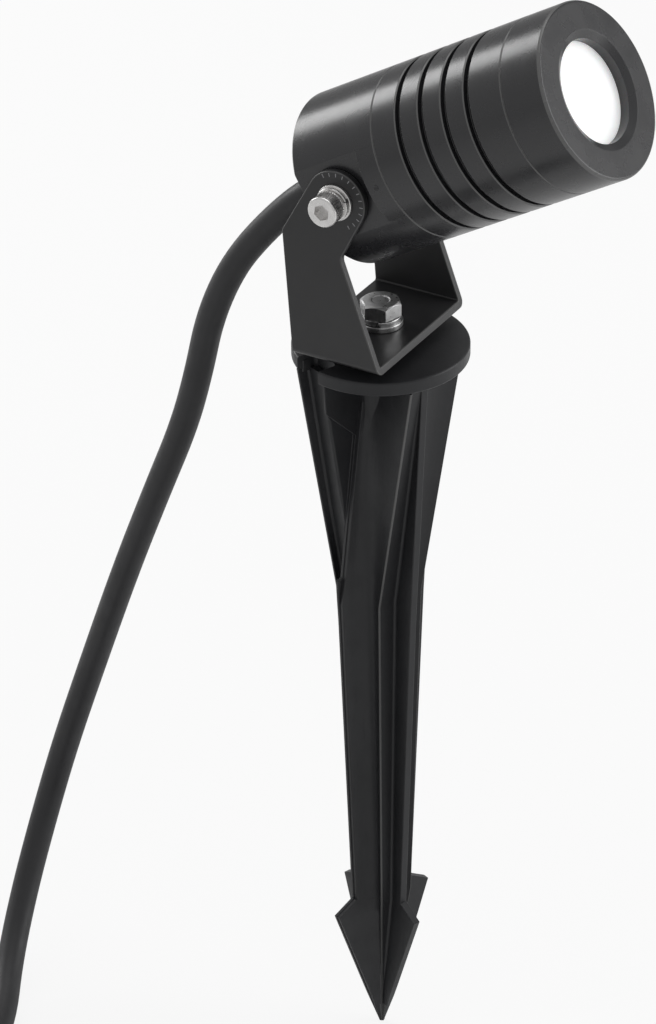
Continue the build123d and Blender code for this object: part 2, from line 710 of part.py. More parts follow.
def make_pivot_screw():
    """Socket cap screw along +Z, as it stands on the near side before turning."""
    _, _, head = pivot_seats()
    radius = PIVOT_HEAD_DIAMETER / 2
    top = head + PIVOT_HEAD_HEIGHT
    screw = turned(
        [
            (0, head - PIVOT_LENGTH),
            (PIVOT_THREAD / 2 - 0.5, head - PIVOT_LENGTH),
            (PIVOT_THREAD / 2, head - PIVOT_LENGTH + 0.7),
            (PIVOT_THREAD / 2, head),
            (radius, head),
            (radius, top - 0.5),
            (radius - 0.5, top),
            (0, top),
        ]
    )
    return screw - hexagon(PIVOT_SOCKET_FLATS, top - PIVOT_SOCKET_DEPTH, top + 1)


def make_pivot_spring():
    """Spring lock washer of a pivot screw, along +Z."""
    _, spring, head = pivot_seats()
    return split_ring(PIVOT_SPRING_DIAMETER / 2, PIVOT_THREAD / 2 + SLIP, spring, head)


def make_pivot_washer():
    """Plain washer of a pivot screw, along +Z."""
    washer, spring, _ = pivot_seats()
    return tube(PIVOT_WASHER_DIAMETER / 2, PIVOT_THREAD / 2 + 2 * SLIP, washer, spring)


# ------------------------------------------------------------ lead, coil and plug


def swept_tube(path, radius):
    """Round tube along a path of lines and arcs."""
    return sweep(Plane(origin=path @ 0, z_dir=path % 0) * Circle(radius), path=path)


def bend_radii(route):
    """Radius of each bend: a share of its shorter run, over the half-turn's tangent."""
    radii = []
    for before, here, after in zip(route, route[1:], route[2:]):
        run_in = Vector(here) - Vector(before)
        run_out = Vector(after) - Vector(here)
        half_turn = radians(run_in.get_angle(run_out) / 2)
        radii.append(BEND_SHARE * min(run_in.length, run_out.length) / tan(half_turn))
    return radii


def head_point(station):
    """Point on the head's axis at a station."""
    return (station * cos(radians(HEAD_TILT)), 0.0, PIVOT_HEIGHT + station * sin(radians(HEAD_TILT)))


def make_supply_cable():
    """Free stretch of the lead, from the gland down to the coil."""
    route = [head_point(GLAND_NOSE), head_point(GLAND_NOSE - LEAD_EXIT)] + LEAD_ROUTE
    radii = bend_radii(route)
    path = FilletPolyline(*route, radius=radii)
    cable = swept_tube(path, LEAD_DIAMETER / 2)
    section = pi * LEAD_DIAMETER**2 / 4
    print("lead: bend radii", [round(radius) for radius in radii])
    share = cable.volume / section / path.length
    print(f"lead: length {path.length:.0f}, volume over section times length {share:.4f}")
    return cable


def coil_point(turns):
    """Middle of the lead after some turns from the coil's start, and its heading."""
    top = COIL_LAYER_TURNS + 0.5
    inner = COIL_RADIUS - COIL_PITCH * COIL_LAYER_TURNS
    into_climb = min(max(turns - COIL_LAYER_TURNS, 0), 0.5)
    if turns <= COIL_LAYER_TURNS:
        radius = COIL_RADIUS - COIL_PITCH * turns
    elif turns < top:
        radius = inner - COIL_PITCH * min(into_climb, 0.5 - into_climb)
    else:
        radius = inner + COIL_PITCH * (turns - top)
    height = COIL_PITCH * 2 * into_climb
    plug_axis = GROUND_UNDER_LEAD + PLUG_RADIUS
    if turns >= COIL_TURNS:
        height = plug_axis - COIL_BASE
    angle = pi + 2 * pi * turns
    centre_x, centre_y = coil_centre()
    place = Vector(centre_x + radius * cos(angle), centre_y + radius * sin(angle), COIL_BASE + height)
    return place, Vector(-sin(angle), cos(angle), 0)


def biarc(start, heading, end, end_heading):
    """Two tangent arcs from one point and heading to another."""
    span = end - start
    both = heading + end_heading
    a = both.dot(both) - 4
    b = -2 * span.dot(both)
    c = span.dot(span)
    handle = (-b - sqrt(b * b - 4 * a * c)) / (2 * a)
    leave = start + heading * handle
    arrive = end - end_heading * handle
    middle = (leave + arrive) * 0.5
    across = (arrive - leave).normalized()
    return [TangentArc(start, middle, tangent=heading), TangentArc(middle, end, tangent=across)]


def coil_path():
    """Path of the coil: in along the floor, up a layer, and out again to the plug."""
    count = round(COIL_TURNS * COIL_STEPS)
    marks = [coil_point(index / COIL_STEPS) for index in range(count + 1)]
    first, first_heading = marks[0]
    last, last_heading = marks[-1]
    edges = [Line(first - first_heading * LEAD_DIAMETER, first)]
    for (start, heading), (end, end_heading) in zip(marks, marks[1:]):
        edges += biarc(start, heading, end, end_heading)
    edges.append(Line(last, last + last_heading * LEAD_DIAMETER))
    return Wire(edges)


def least_gap(path, diameter):
    """Least gap between stretches of a wound tube, measured on points of its path."""
    count = int(path.length / 4)
    points = [path.position_at(index / count) for index in range(count + 1)]
    apart = int(3 * diameter / 4)
    nearest = min(
        (points[i] - points[j]).length
        for i in range(count + 1)
        for j in range(i + apart, count + 1)
    )
    return nearest - diameter


def make_cable_coil():
    """Spare length of the lead, wound in two layers."""
    path = coil_path()
    print(f"coil: length {path.length:.0f}, least gap {least_gap(path, LEAD_DIAMETER):.2f}")
    return swept_tube(path, LEAD_DIAMETER / 2)


def coil_centre():
    """Centre of the coil in plan."""
    start = LEAD_ROUTE[-1]
    return start[0] + COIL_RADIUS, start[1] - LEAD_DIAMETER


def make_coil_tie():
    """Cable tie round both layers, where no turn climbs, three quarters of a turn in."""
    centre_x, centre_y = coil_centre()
    outer_turn = COIL_RADIUS - COIL_PITCH * 3 / 4
    inner_turn = outer_turn - COIL_PITCH
    middle = (outer_turn + inner_turn) / 2
    wide = COIL_PITCH + LEAD_DIAMETER + 2 * TIE_CLEARANCE
    place = Plane(
        origin=(centre_x, centre_y + middle, COIL_BASE + COIL_PITCH / 2), x_dir=(0, 1, 0), z_dir=(1, 0, 0)
    )
    inner = RectangleRounded(wide, wide, TIE_ROUND)
    outer = RectangleRounded(wide + 2 * TIE_THICKNESS, wide + 2 * TIE_THICKNESS, TIE_ROUND + TIE_THICKNESS)
    band = extrude(place * (outer - inner), TIE_WIDTH / 2, both=True)
    long, across, high = TIE_HEAD
    head = place * Pos(-wide / 2 - high / 2, 0, 0) * Box(high, long, across)
    return band + head


def plug_place():
    """Frame of the plug: its axis along +Z, starting where the lead goes in."""
    last, heading = coil_point(COIL_TURNS)
    return Plane(origin=last + heading * LEAD_DIAMETER, x_dir=(0, 1, 0), z_dir=heading)


def plug_stations():
    """Where the plug's neck, its round face part and its pin face start."""
    neck = PLUG_RELIEF_LENGTH
    shoulder = neck + PLUG_GRIP_LENGTH
    return neck, shoulder, shoulder + PLUG_FACE_LENGTH


def make_plug_body():
    """Moulded plug with a ribbed strain relief, a waisted grip and earth recesses."""
    neck, shoulder, face = plug_stations()
    relief = [(0, 0), (PLUG_RELIEF_NOSE, 0)]
    step = PLUG_RELIEF_LENGTH / (PLUG_RELIEF_RIBS + 0.5)
    for rib in range(PLUG_RELIEF_RIBS):
        low = step * (rib + 0.5)
        share = low / PLUG_RELIEF_LENGTH
        radius = PLUG_RELIEF_NOSE + (PLUG_RELIEF_RADIUS - PLUG_RELIEF_NOSE) * share
        relief += [
            (radius, low),
            (radius - PLUG_RELIEF_RIB_DEPTH, low),
            (radius - PLUG_RELIEF_RIB_DEPTH, low + PLUG_RELIEF_RIB_WIDTH),
            (radius, low + PLUG_RELIEF_RIB_WIDTH),
        ]
    relief += [(PLUG_RELIEF_RADIUS, neck), (0, neck)]
    body = turned(relief)
    body += turned(
        [
            (0, neck),
            (PLUG_NECK_RADIUS, neck),
            (PLUG_NECK_RADIUS + 3.5, neck + 6),
            (PLUG_RADIUS - 4.0, shoulder - 4),
            (PLUG_RADIUS - 1.0, shoulder),
            (PLUG_RADIUS, shoulder + 2),
            (PLUG_RADIUS, face - 1),
            (PLUG_RADIUS - 1, face),
            (0, face),
        ]
    )
    for side in (-1, 1):
        recess = Box(EARTH_WIDTH + 2 * SLIP, EARTH_RECESS + 1, EARTH_LENGTH + 1)
        body -= Pos(0, side * (PLUG_RADIUS - EARTH_RECESS / 2 + 0.5), face - EARTH_LENGTH / 2 + 0.5) * recess
        pin_seat = Cylinder(PLUG_PIN_SHANK / 2 + THREAD, PLUG_PIN_SEAT + 1)
        body -= Pos(side * PLUG_PIN_SPACING / 2, 0, face - PLUG_PIN_SEAT / 2 + 0.5) * pin_seat
    return body


def make_plug_pins():
    """Two round contact pins with rounded ends."""
    _, _, face = plug_stations()
    radius = PLUG_PIN_DIAMETER / 2
    shank = PLUG_PIN_SHANK / 2
    tip = face + PLUG_PIN_LENGTH
    pin = turned(
        [
            (0, face - PLUG_PIN_SEAT + THREAD),
            (shank, face - PLUG_PIN_SEAT + THREAD),
            (shank, face + PLUG_PIN_COLLAR),
            (radius, face + PLUG_PIN_COLLAR),
            (radius, tip - 1.2),
            (radius - 0.5, tip - 0.4),
            (radius - 1.4, tip),
            (0, tip),
        ]
    )
    return Compound([Pos(side * PLUG_PIN_SPACING / 2, 0, 0) * pin for side in (-1, 1)])


def make_plug_earth_clips():
    """Two sprung earth strips let into the rim of the plug."""
    _, _, face = plug_stations()
    seat = PLUG_RADIUS - EARTH_RECESS
    clips = [
        Pos(0, side * (seat + THREAD + EARTH_THICKNESS / 2), face - EARTH_LENGTH / 2)
        * Box(EARTH_WIDTH, EARTH_THICKNESS, EARTH_LENGTH - SLIP)
        for side in (-1, 1)
    ]
    return Compound(clips)


def near_side(piece):
    """A piece made along +Z, turned to stand out of the head at -Y."""
    return Pos(0, 0, PIVOT_HEIGHT) * Rot(90, 0, 0) * piece


def far_side(piece):
    """A piece made along +Z, turned to stand out of the head at +Y."""
    return Pos(0, 0, PIVOT_HEIGHT) * Rot(-90, 0, 0) * piece


def build_parts():
    """Every piece at its place, by name."""
    plug = plug_place()
    parts = {
        "spike": make_spike(),
        "thread_insert": make_thread_insert(),
        "swivel_bolt": make_swivel_bolt(),
        "swivel_flat_washer": make_swivel_flat_washer(),
        "swivel_spring_washer": make_swivel_spring_washer(),
        "yoke_bracket": make_yoke(),
        "rear_housing": HEAD_PLACE * make_rear_housing(),
        "finned_barrel": HEAD_PLACE * make_finned_barrel(),
        "front_bezel": HEAD_PLACE * make_front_bezel(),
        "front_lens": HEAD_PLACE * make_front_lens(),
        "lens_gasket": HEAD_PLACE * make_lens_gasket(),
        "barrel_seal": HEAD_PLACE * make_barrel_seal(),
        "bezel_seal": HEAD_PLACE * make_bezel_seal(),
        "led_board": HEAD_PLACE * make_led_board(),
        "led_emitter": HEAD_PLACE * make_led_emitter(),
        "reflector": HEAD_PLACE * make_reflector(),
        "driver_board": HEAD_PLACE * make_driver_board(),
        "driver_components": HEAD_PLACE * make_driver_components(),
        "gland_body": HEAD_PLACE * make_gland_body(),
        "gland_seal": HEAD_PLACE * make_gland_seal(),
        "gland_nut": HEAD_PLACE * make_gland_nut(),
        "cable_tail": HEAD_PLACE * make_cable_tail(),
        "near_pivot_screw": near_side(make_pivot_screw()),
        "near_pivot_spring": near_side(make_pivot_spring()),
        "near_pivot_washer": near_side(make_pivot_washer()),
        "far_pivot_screw": far_side(make_pivot_screw()),
        "far_pivot_spring": far_side(make_pivot_spring()),
        "far_pivot_washer": far_side(make_pivot_washer()),
        "supply_cable": make_supply_cable(),
        "cable_coil": make_cable_coil(),
        "coil_tie": make_coil_tie(),
        "plug_body": plug * make_plug_body(),
        "plug_pins": plug * make_plug_pins(),
        "plug_earth_clips": plug * make_plug_earth_clips(),
    }
    return parts


def main():
    """Build every piece and write one STEP file for each."""
    os.makedirs("parts", exist_ok=True)
    for name, piece in build_parts().items():
        export_step(piece, f"parts/{name}.step")


main()
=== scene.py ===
"""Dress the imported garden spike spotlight: a grooved head, its yoke, a ground spike and the lead.

Sizes are in millimetres in the classes below and become metres when a mesh is placed in the frame.
The frame's origin is the centre of the flange's underside, +Z points up, +X is the way the head
faces and Y runs along the tilt pivot.
"""

import logging
import math
from collections.abc import Callable, Sequence
from dataclasses import dataclass
from enum import Enum

import bmesh
import bpy
from mathutils import Matrix, Vector


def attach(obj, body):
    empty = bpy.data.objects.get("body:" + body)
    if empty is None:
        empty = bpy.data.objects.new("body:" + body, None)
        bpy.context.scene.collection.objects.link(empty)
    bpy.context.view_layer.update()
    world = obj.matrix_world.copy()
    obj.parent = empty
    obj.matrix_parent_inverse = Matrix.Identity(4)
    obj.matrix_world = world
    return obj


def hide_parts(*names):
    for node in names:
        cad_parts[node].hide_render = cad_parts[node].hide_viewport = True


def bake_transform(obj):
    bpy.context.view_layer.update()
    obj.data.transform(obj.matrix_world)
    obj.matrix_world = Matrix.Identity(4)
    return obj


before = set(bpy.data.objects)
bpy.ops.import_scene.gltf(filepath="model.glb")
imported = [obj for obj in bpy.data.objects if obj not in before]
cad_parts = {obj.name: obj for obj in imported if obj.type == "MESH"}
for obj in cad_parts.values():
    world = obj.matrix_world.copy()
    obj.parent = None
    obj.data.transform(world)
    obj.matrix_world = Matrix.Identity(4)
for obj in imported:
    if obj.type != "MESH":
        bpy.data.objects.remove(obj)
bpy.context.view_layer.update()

LOG = logging.getLogger("spotlight")
MM = 0.001
PLAIN = Matrix.Identity(4)
FULL_SIZE = Matrix.Scale(1 / MM, 4)
AXES_FORWARD = Matrix(((0, 0, 1, 0), (1, 0, 0, 0), (0, 1, 0, 0), (0, 0, 0, 1)))
Point2 = tuple[float, float]
Point3 = tuple[float, float, float]
MIDDLE: Point2 = (0.3, 0.7)


class Body(Enum):
    """Rigid bodies of the frame that pieces ride on."""

    SPIKE = "spike"
    BRACKET = "bracket"
    HEAD = "head"


# ------------------------------------------------------------------ mesh making


@dataclass(frozen=True)
class Corner:
    """One corner of a profile or outline, with the radius that rounds it."""

    x: float
    y: float
    radius: float = 0.0


def rounded(corners: Sequence[Corner], steps: int = 4) -> list[Point2]:
    """Round the corners of a closed outline.

    Args:
        corners: The outline's corners in order.
        steps: Pieces of each rounding arc.

    Returns:
        The outline's points. Each rounded corner always gives steps + 1 of them.
    """
    points: list[Point2] = []
    for index, corner in enumerate(corners):
        before = corners[index - 1]
        after = corners[(index + 1) % len(corners)]
        here = Vector((corner.x, corner.y))
        back = Vector((before.x, before.y)) - here
        ahead = Vector((after.x, after.y)) - here
        if corner.radius <= 0:
            points.append((corner.x, corner.y))
            continue
        half = back.angle(ahead) / 2
        reach = corner.radius / math.tan(half)
        reach = min(reach, back.length * 0.49, ahead.length * 0.49)
        radius = reach * math.tan(half)
        middle = here + (back.normalized() + ahead.normalized()).normalized() * radius / math.sin(half)
        start = here + back.normalized() * reach - middle
        end = here + ahead.normalized() * reach - middle
        sweep = start.angle_signed(end)
        for step in range(steps + 1):
            turned = start.copy()
            turned.rotate(Matrix.Rotation(-sweep * step / steps, 2))
            points.append(tuple(middle + turned))
    return points


def arc(centre: Point2, radius: float, start: float, end: float, steps: int) -> list[Point2]:
    """Give points on an arc.

    Args:
        centre: Centre of the arc.
        radius: Its radius.
        start: First angle in degrees.
        end: Last angle in degrees.
        steps: Pieces of the arc.

    Returns:
        steps + 1 points from the first angle to the last.
    """
    angles = [math.radians(start + (end - start) * step / steps) for step in range(steps + 1)]
    return [(centre[0] + radius * math.cos(a), centre[1] + radius * math.sin(a)) for a in angles]


class Shell:
    """A closed mesh in the making, in millimetres, in its sub-assembly's own axes."""

    def __init__(self) -> None:
        """Start with nothing."""
        self.mesh = bmesh.new()

    def loft(self, rings: Sequence[Sequence[Point3]], closed: bool = False) -> "Shell":
        """Skin a row of rings that have the same number of points.

        Args:
            rings: The rings in order.
            closed: True joins the last ring to the first in place of capping both.

        Returns:
            The shell itself.
        """
        rows = [[self.mesh.verts.new(point) for point in ring] for ring in rings]
        pairs = list(zip(rows, rows[1:]))
        if closed:
            pairs.append((rows[-1], rows[0]))
        else:
            self.mesh.faces.new(reversed(rows[0]))
            self.mesh.faces.new(rows[-1])
        for low, high in pairs:
            for index in range(len(low)):
                after = (index + 1) % len(low)
                self.mesh.faces.new((low[index], low[after], high[after], high[index]))
        return self

    def turn(self, profile: Sequence[Point2], angles: Sequence[float]) -> "Shell":
        """Turn a closed profile about Z.

        Args:
            profile: Points of (radius, height).
            angles: Directions of the sections, in radians, all the way round.

        Returns:
            The shell itself.
        """
        rings = [[(r * math.cos(a), r * math.sin(a), z) for r, z in profile] for a in angles]
        return self.loft(rings, closed=True)

    def prism(self, outline: Sequence[Point2], low: float, high: float) -> "Shell":
        """Raise a flat outline along Z between two heights and return the shell."""
        return self.loft([[(x, y, z) for x, y in outline] for z in (low, high)])

    def placed(self, name: str, place: Matrix) -> bpy.types.Object:
        """Weld the shell and put it in the frame.

        Args:
            name: Name of the object and its mesh.
            place: Turn and place of the sub-assembly's axes, in millimetres.

        Returns:
            The object, which stands at the origin with its place in its mesh.
        """
        bmesh.ops.remove_doubles(self.mesh, verts=self.mesh.verts, dist=1e-4)
        bmesh.ops.dissolve_degenerate(self.mesh, edges=self.mesh.edges, dist=1e-5)
        bmesh.ops.recalc_face_normals(self.mesh, faces=self.mesh.faces)
        self.mesh.transform(Matrix.Scale(MM, 4) @ place)
        if place.determinant() < 0:
            bmesh.ops.reverse_faces(self.mesh, faces=self.mesh.faces)
        data = bpy.data.meshes.new(name)
        self.mesh.to_mesh(data)
        self.mesh.free()
        return add_object(name, data)


def add_object(name: str, data: bpy.types.ID) -> bpy.types.Object:
    """Make an object of some data and link it to the scene."""
    thing = bpy.data.objects.new(name, data)
    bpy.context.scene.collection.objects.link(thing)
    return thing


def turned(name: str, profile: Sequence[Point2], place: Matrix, count: int = 48) -> bpy.types.Object:
    """Turn a profile of (radius, height) in even sections and put it in the frame.

    Args:
        name: Name of the object.
        profile: Points of (radius, height).
        place: Axes it is turned in, in millimetres.
        count: How many sections there are.

    Returns:
        The object.
    """
    angles = [2 * math.pi * index / count for index in range(count)]
    return Shell().turn(profile, angles).placed(name, place)


def raised(name: str, outline: Sequence[Point2], low: float, high: float, place: Matrix) -> bpy.types.Object:
    """Raise a flat outline between two heights and put it in the frame.

    Args:
        name: Name of the object.
        outline: The outline's points.
        low: Height where it starts.
        high: Height where it ends.
        place: Axes it is raised in, in millimetres.

    Returns:
        The object.
    """
    return Shell().prism(outline, low, high).placed(name, place)


def spin(degrees: float, axis: str = "Z") -> Matrix:
    """Give a turn about an axis."""
    return Matrix.Rotation(math.radians(degrees), 4, axis)


def shift(x: float, y: float, z: float) -> Matrix:
    """Give a move in millimetres."""
    return Matrix.Translation((x, y, z))


def disc(radius: float, low: float, high: float) -> list[Point2]:
    """Give the profile of a plain round bar."""
    return [(0, low), (radius, low), (radius, high), (0, high)]


def hexagon(flats: float) -> list[Point2]:
    """Draw a hexagon of a width over its flats."""
    radius = flats / math.sqrt(3)
    angles = [math.radians(60 * corner) for corner in range(6)]
    return [(radius * math.cos(a), radius * math.sin(a)) for a in angles]


class Cut(Enum):
    """Ways to combine one mesh with another."""

    REMOVE = "DIFFERENCE"
    KEEP = "INTERSECT"
    JOIN = "UNION"


def combine(thing: bpy.types.Object, tool: bpy.types.Object, cut: Cut) -> bpy.types.Object:
    """Combine a piece with a tool shape and delete the tool.

    Args:
        thing: The piece.
        tool: The shape that is removed, kept or joined.
        cut: What is done with it.

    Returns:
        The piece.
    """
    step = thing.modifiers.new(cut.name, "BOOLEAN")
    step.operation = cut.value
    step.solver = "EXACT"
    step.object = tool
    settle(thing)
    bpy.data.objects.remove(tool)
    return thing


def settle(thing: bpy.types.Object) -> bpy.types.Object:
    """Turn a piece's live modifiers into a plain mesh and return the piece."""
    bpy.context.view_layer.update()
    graph = bpy.context.evaluated_depsgraph_get()
    data = bpy.data.meshes.new_from_object(
        thing.evaluated_get(graph), preserve_all_data_layers=True, depsgraph=graph
    )
    data.name = thing.name
    thing.modifiers.clear()
    thing.data = data
    return thing


def mark_highlight_faces(thing: bpy.types.Object, test: Callable[[bpy.types.MeshPolygon], bool]) -> bpy.types.Object:
    """Note which faces of a piece get a painted highlight on its broken edges, for its material.

    Args:
        thing: The piece.
        test: Tells whether a face gets the painted highlight.

    Returns:
        The piece.
    """
    data = thing.data
    bright = data.attributes.get("edge") or data.attributes.new("edge", "FLOAT", "FACE")
    for face in data.polygons:
        if test(face):
            bright.data[face.index].value = 1.0
    return thing


def soften_edges(thing: bpy.types.Object, width: float, angle: float = 40.0) -> bpy.types.Object:
    """Break a piece's sharp edges with a small rounding, and mark the faces it makes for a painted highlight.

    Args:
        thing: The piece.
        width: Width of the rounding in millimetres.
        angle: Least angle in degrees between faces that counts as sharp.

    Returns:
        The piece.
    """
    bevel = thing.modifiers.new("edges", "BEVEL")
    bevel.width = width * MM
    bevel.segments = 3
    bevel.limit_method = "ANGLE"
    bevel.angle_limit = math.radians(angle)
    bevel.use_clamp_overlap = True
    bevel.harden_normals = False
    for _ in range(2):
        thing.data.materials.append(None)
    bevel.material = 1
    settle(thing)
    mark_highlight_faces(thing, lambda face: face.material_index == 1)
    for face in thing.data.polygons:
        face.material_index = 0
    thing.data.materials.clear()
    return thing


def smooth(thing: bpy.types.Object, angle: float = 32.0, weigh: bool = True) -> bpy.types.Object:
    """Shade a piece smoothly up to an angle, with flat faces kept flat.

    Args:
        thing: The piece.
        angle: Least angle in degrees that still shows as an edge.
        weigh: True lets large faces decide the shading of small ones.

    Returns:
        The piece.
    """
    thing.data.shade_smooth()
    thing.data.set_sharp_from_angle(angle=math.radians(angle))
    if weigh:
        weighted = thing.modifiers.new("shading", "WEIGHTED_NORMAL")
        weighted.keep_sharp = True
        weighted.weight = 50
        settle(thing)
    return thing


# ----------------------------------------------------------- repeated details


class NodeTree:
    """Adds and joins the nodes of one tree."""

    def __init__(self, tree: bpy.types.NodeTree) -> None:
        """Take over an empty tree."""
        self.tree = tree

    def add(self, kind: str, **settings: object) -> bpy.types.Node:
        """Add a node and set its properties."""
        made = self.tree.nodes.new(kind)
        for key, value in settings.items():
            setattr(made, key, value)
        return made

    def link(self, source: bpy.types.NodeSocket, target: bpy.types.NodeSocket) -> None:
        """Join two sockets."""
        self.tree.links.new(source, target)

    def span(
        self, value: bpy.types.NodeSocket, source: Point2, target: Point2, ease: bool = False
    ) -> bpy.types.NodeSocket:
        """Map one range of a value to another.

        Args:
            value: The value.
            source: Ends of its range.
            target: What the ends become.
            ease: True starts and ends the change softly.

        Returns:
            The result's socket.
        """
        made = self.add("ShaderNodeMapRange", interpolation_type="SMOOTHSTEP" if ease else "LINEAR")
        for name, number in zip(("From Min", "From Max", "To Min", "To Max"), (*source, *target)):
            made.inputs[name].default_value = number
        self.link(value, made.inputs["Value"])
        return made.outputs[0]


class ArrayTree(NodeTree):
    """Geometry Nodes tree that copies a small shape round a circle or along a line."""

    def __init__(self, name: str) -> None:
        """Make an empty tree with a geometry input and output."""
        super().__init__(bpy.data.node_groups.new(name, "GeometryNodeTree"))
        self.sockets: dict[str, str] = {}
        for way in ("INPUT", "OUTPUT"):
            self.tree.interface.new_socket("Geometry", in_out=way, socket_type="NodeSocketGeometry")
        self.inputs = self.add("NodeGroupInput")
        self.outputs = self.add("NodeGroupOutput")

    def add_input(self, name: str, kind: str) -> bpy.types.NodeSocket:
        """Add a named input and return its socket inside the tree."""
        item = self.tree.interface.new_socket(name, in_out="INPUT", socket_type=kind)
        self.sockets[name] = item.identifier
        return next(s for s in self.inputs.outputs if s.identifier == item.identifier)

    def close(
        self, points: bpy.types.NodeSocket, rotation: bpy.types.NodeSocket | None = None
    ) -> "ArrayTree":
        """Copy the shape to every point, give the copies their material and end the tree.

        Args:
            points: Where the copies go.
            rotation: How each is turned, or None to leave them as they are.

        Returns:
            The tree itself.
        """
        material = self.add_input("Material", "NodeSocketMaterial")
        place = self.add("GeometryNodeInstanceOnPoints")
        real = self.add("GeometryNodeRealizeInstances")
        coat = self.add("GeometryNodeSetMaterial")
        self.link(points, place.inputs["Points"])
        self.link(self.inputs.outputs["Geometry"], place.inputs["Instance"])
        if rotation:
            self.link(rotation, place.inputs["Rotation"])
        self.link(place.outputs[0], real.inputs["Geometry"])
        self.link(real.outputs["Geometry"], coat.inputs["Geometry"])
        self.link(material, coat.inputs["Material"])
        self.link(coat.outputs["Geometry"], self.outputs.inputs[0])
        return self

    def apply(self, thing: bpy.types.Object, **values: object) -> bpy.types.Object:
        """Run the tree on a small shape and keep the result as a plain mesh.

        Args:
            thing: Object that holds the shape to copy.
            **values: The tree's inputs by name, with underscores for spaces.

        Returns:
            The object, now with all the copies.
        """
        step = thing.modifiers.new(self.tree.name, "NODES")
        step.node_group = self.tree
        for name, value in values.items():
            step[self.sockets[name.replace("_", " ")]] = value
        return settle(thing)


def ring_tree() -> ArrayTree:
    """Build the tree that copies a shape round the Z axis between two angles."""
    tree = ArrayTree("ring_of_copies")
    count = tree.add_input("Count", "NodeSocketInt")
    step = tree.add_input("Step", "NodeSocketFloat")
    start = tree.add_input("Start", "NodeSocketFloat")
    points = tree.add("GeometryNodePoints")
    index = tree.add("GeometryNodeInputIndex")
    angle = tree.add("ShaderNodeMath", operation="MULTIPLY_ADD")
    turn = tree.add("ShaderNodeCombineXYZ")
    tree.link(count, points.inputs["Count"])
    for source, target in zip((index.outputs[0], step, start), angle.inputs):
        tree.link(source, target)
    tree.link(angle.outputs[0], turn.inputs["Z"])
    return tree.close(points.outputs[0], turn.outputs[0])


def row_tree() -> ArrayTree:
    """Build the tree that copies a shape along the Z axis at a steady pitch."""
    tree = ArrayTree("row_of_copies")
    count = tree.add_input("Count", "NodeSocketInt")
    pitch = tree.add_input("Pitch", "NodeSocketFloat")
    step = tree.add("ShaderNodeCombineXYZ")
    line = tree.add("GeometryNodeMeshLine", mode="OFFSET")
    tree.link(pitch, step.inputs["Z"])
    tree.link(count, line.inputs["Count"])
    tree.link(step.outputs[0], line.inputs["Offset"])
    return tree.close(line.outputs[0])


def seat_in_place(thing: bpy.types.Object, place: Matrix) -> bpy.types.Object:
    """Move a mesh, made in millimetres about its own origin, to its place in the frame."""
    thing.data.transform(Matrix.Scale(MM, 4) @ place)
    return thing


# -------------------------------------------------------------------- finishes


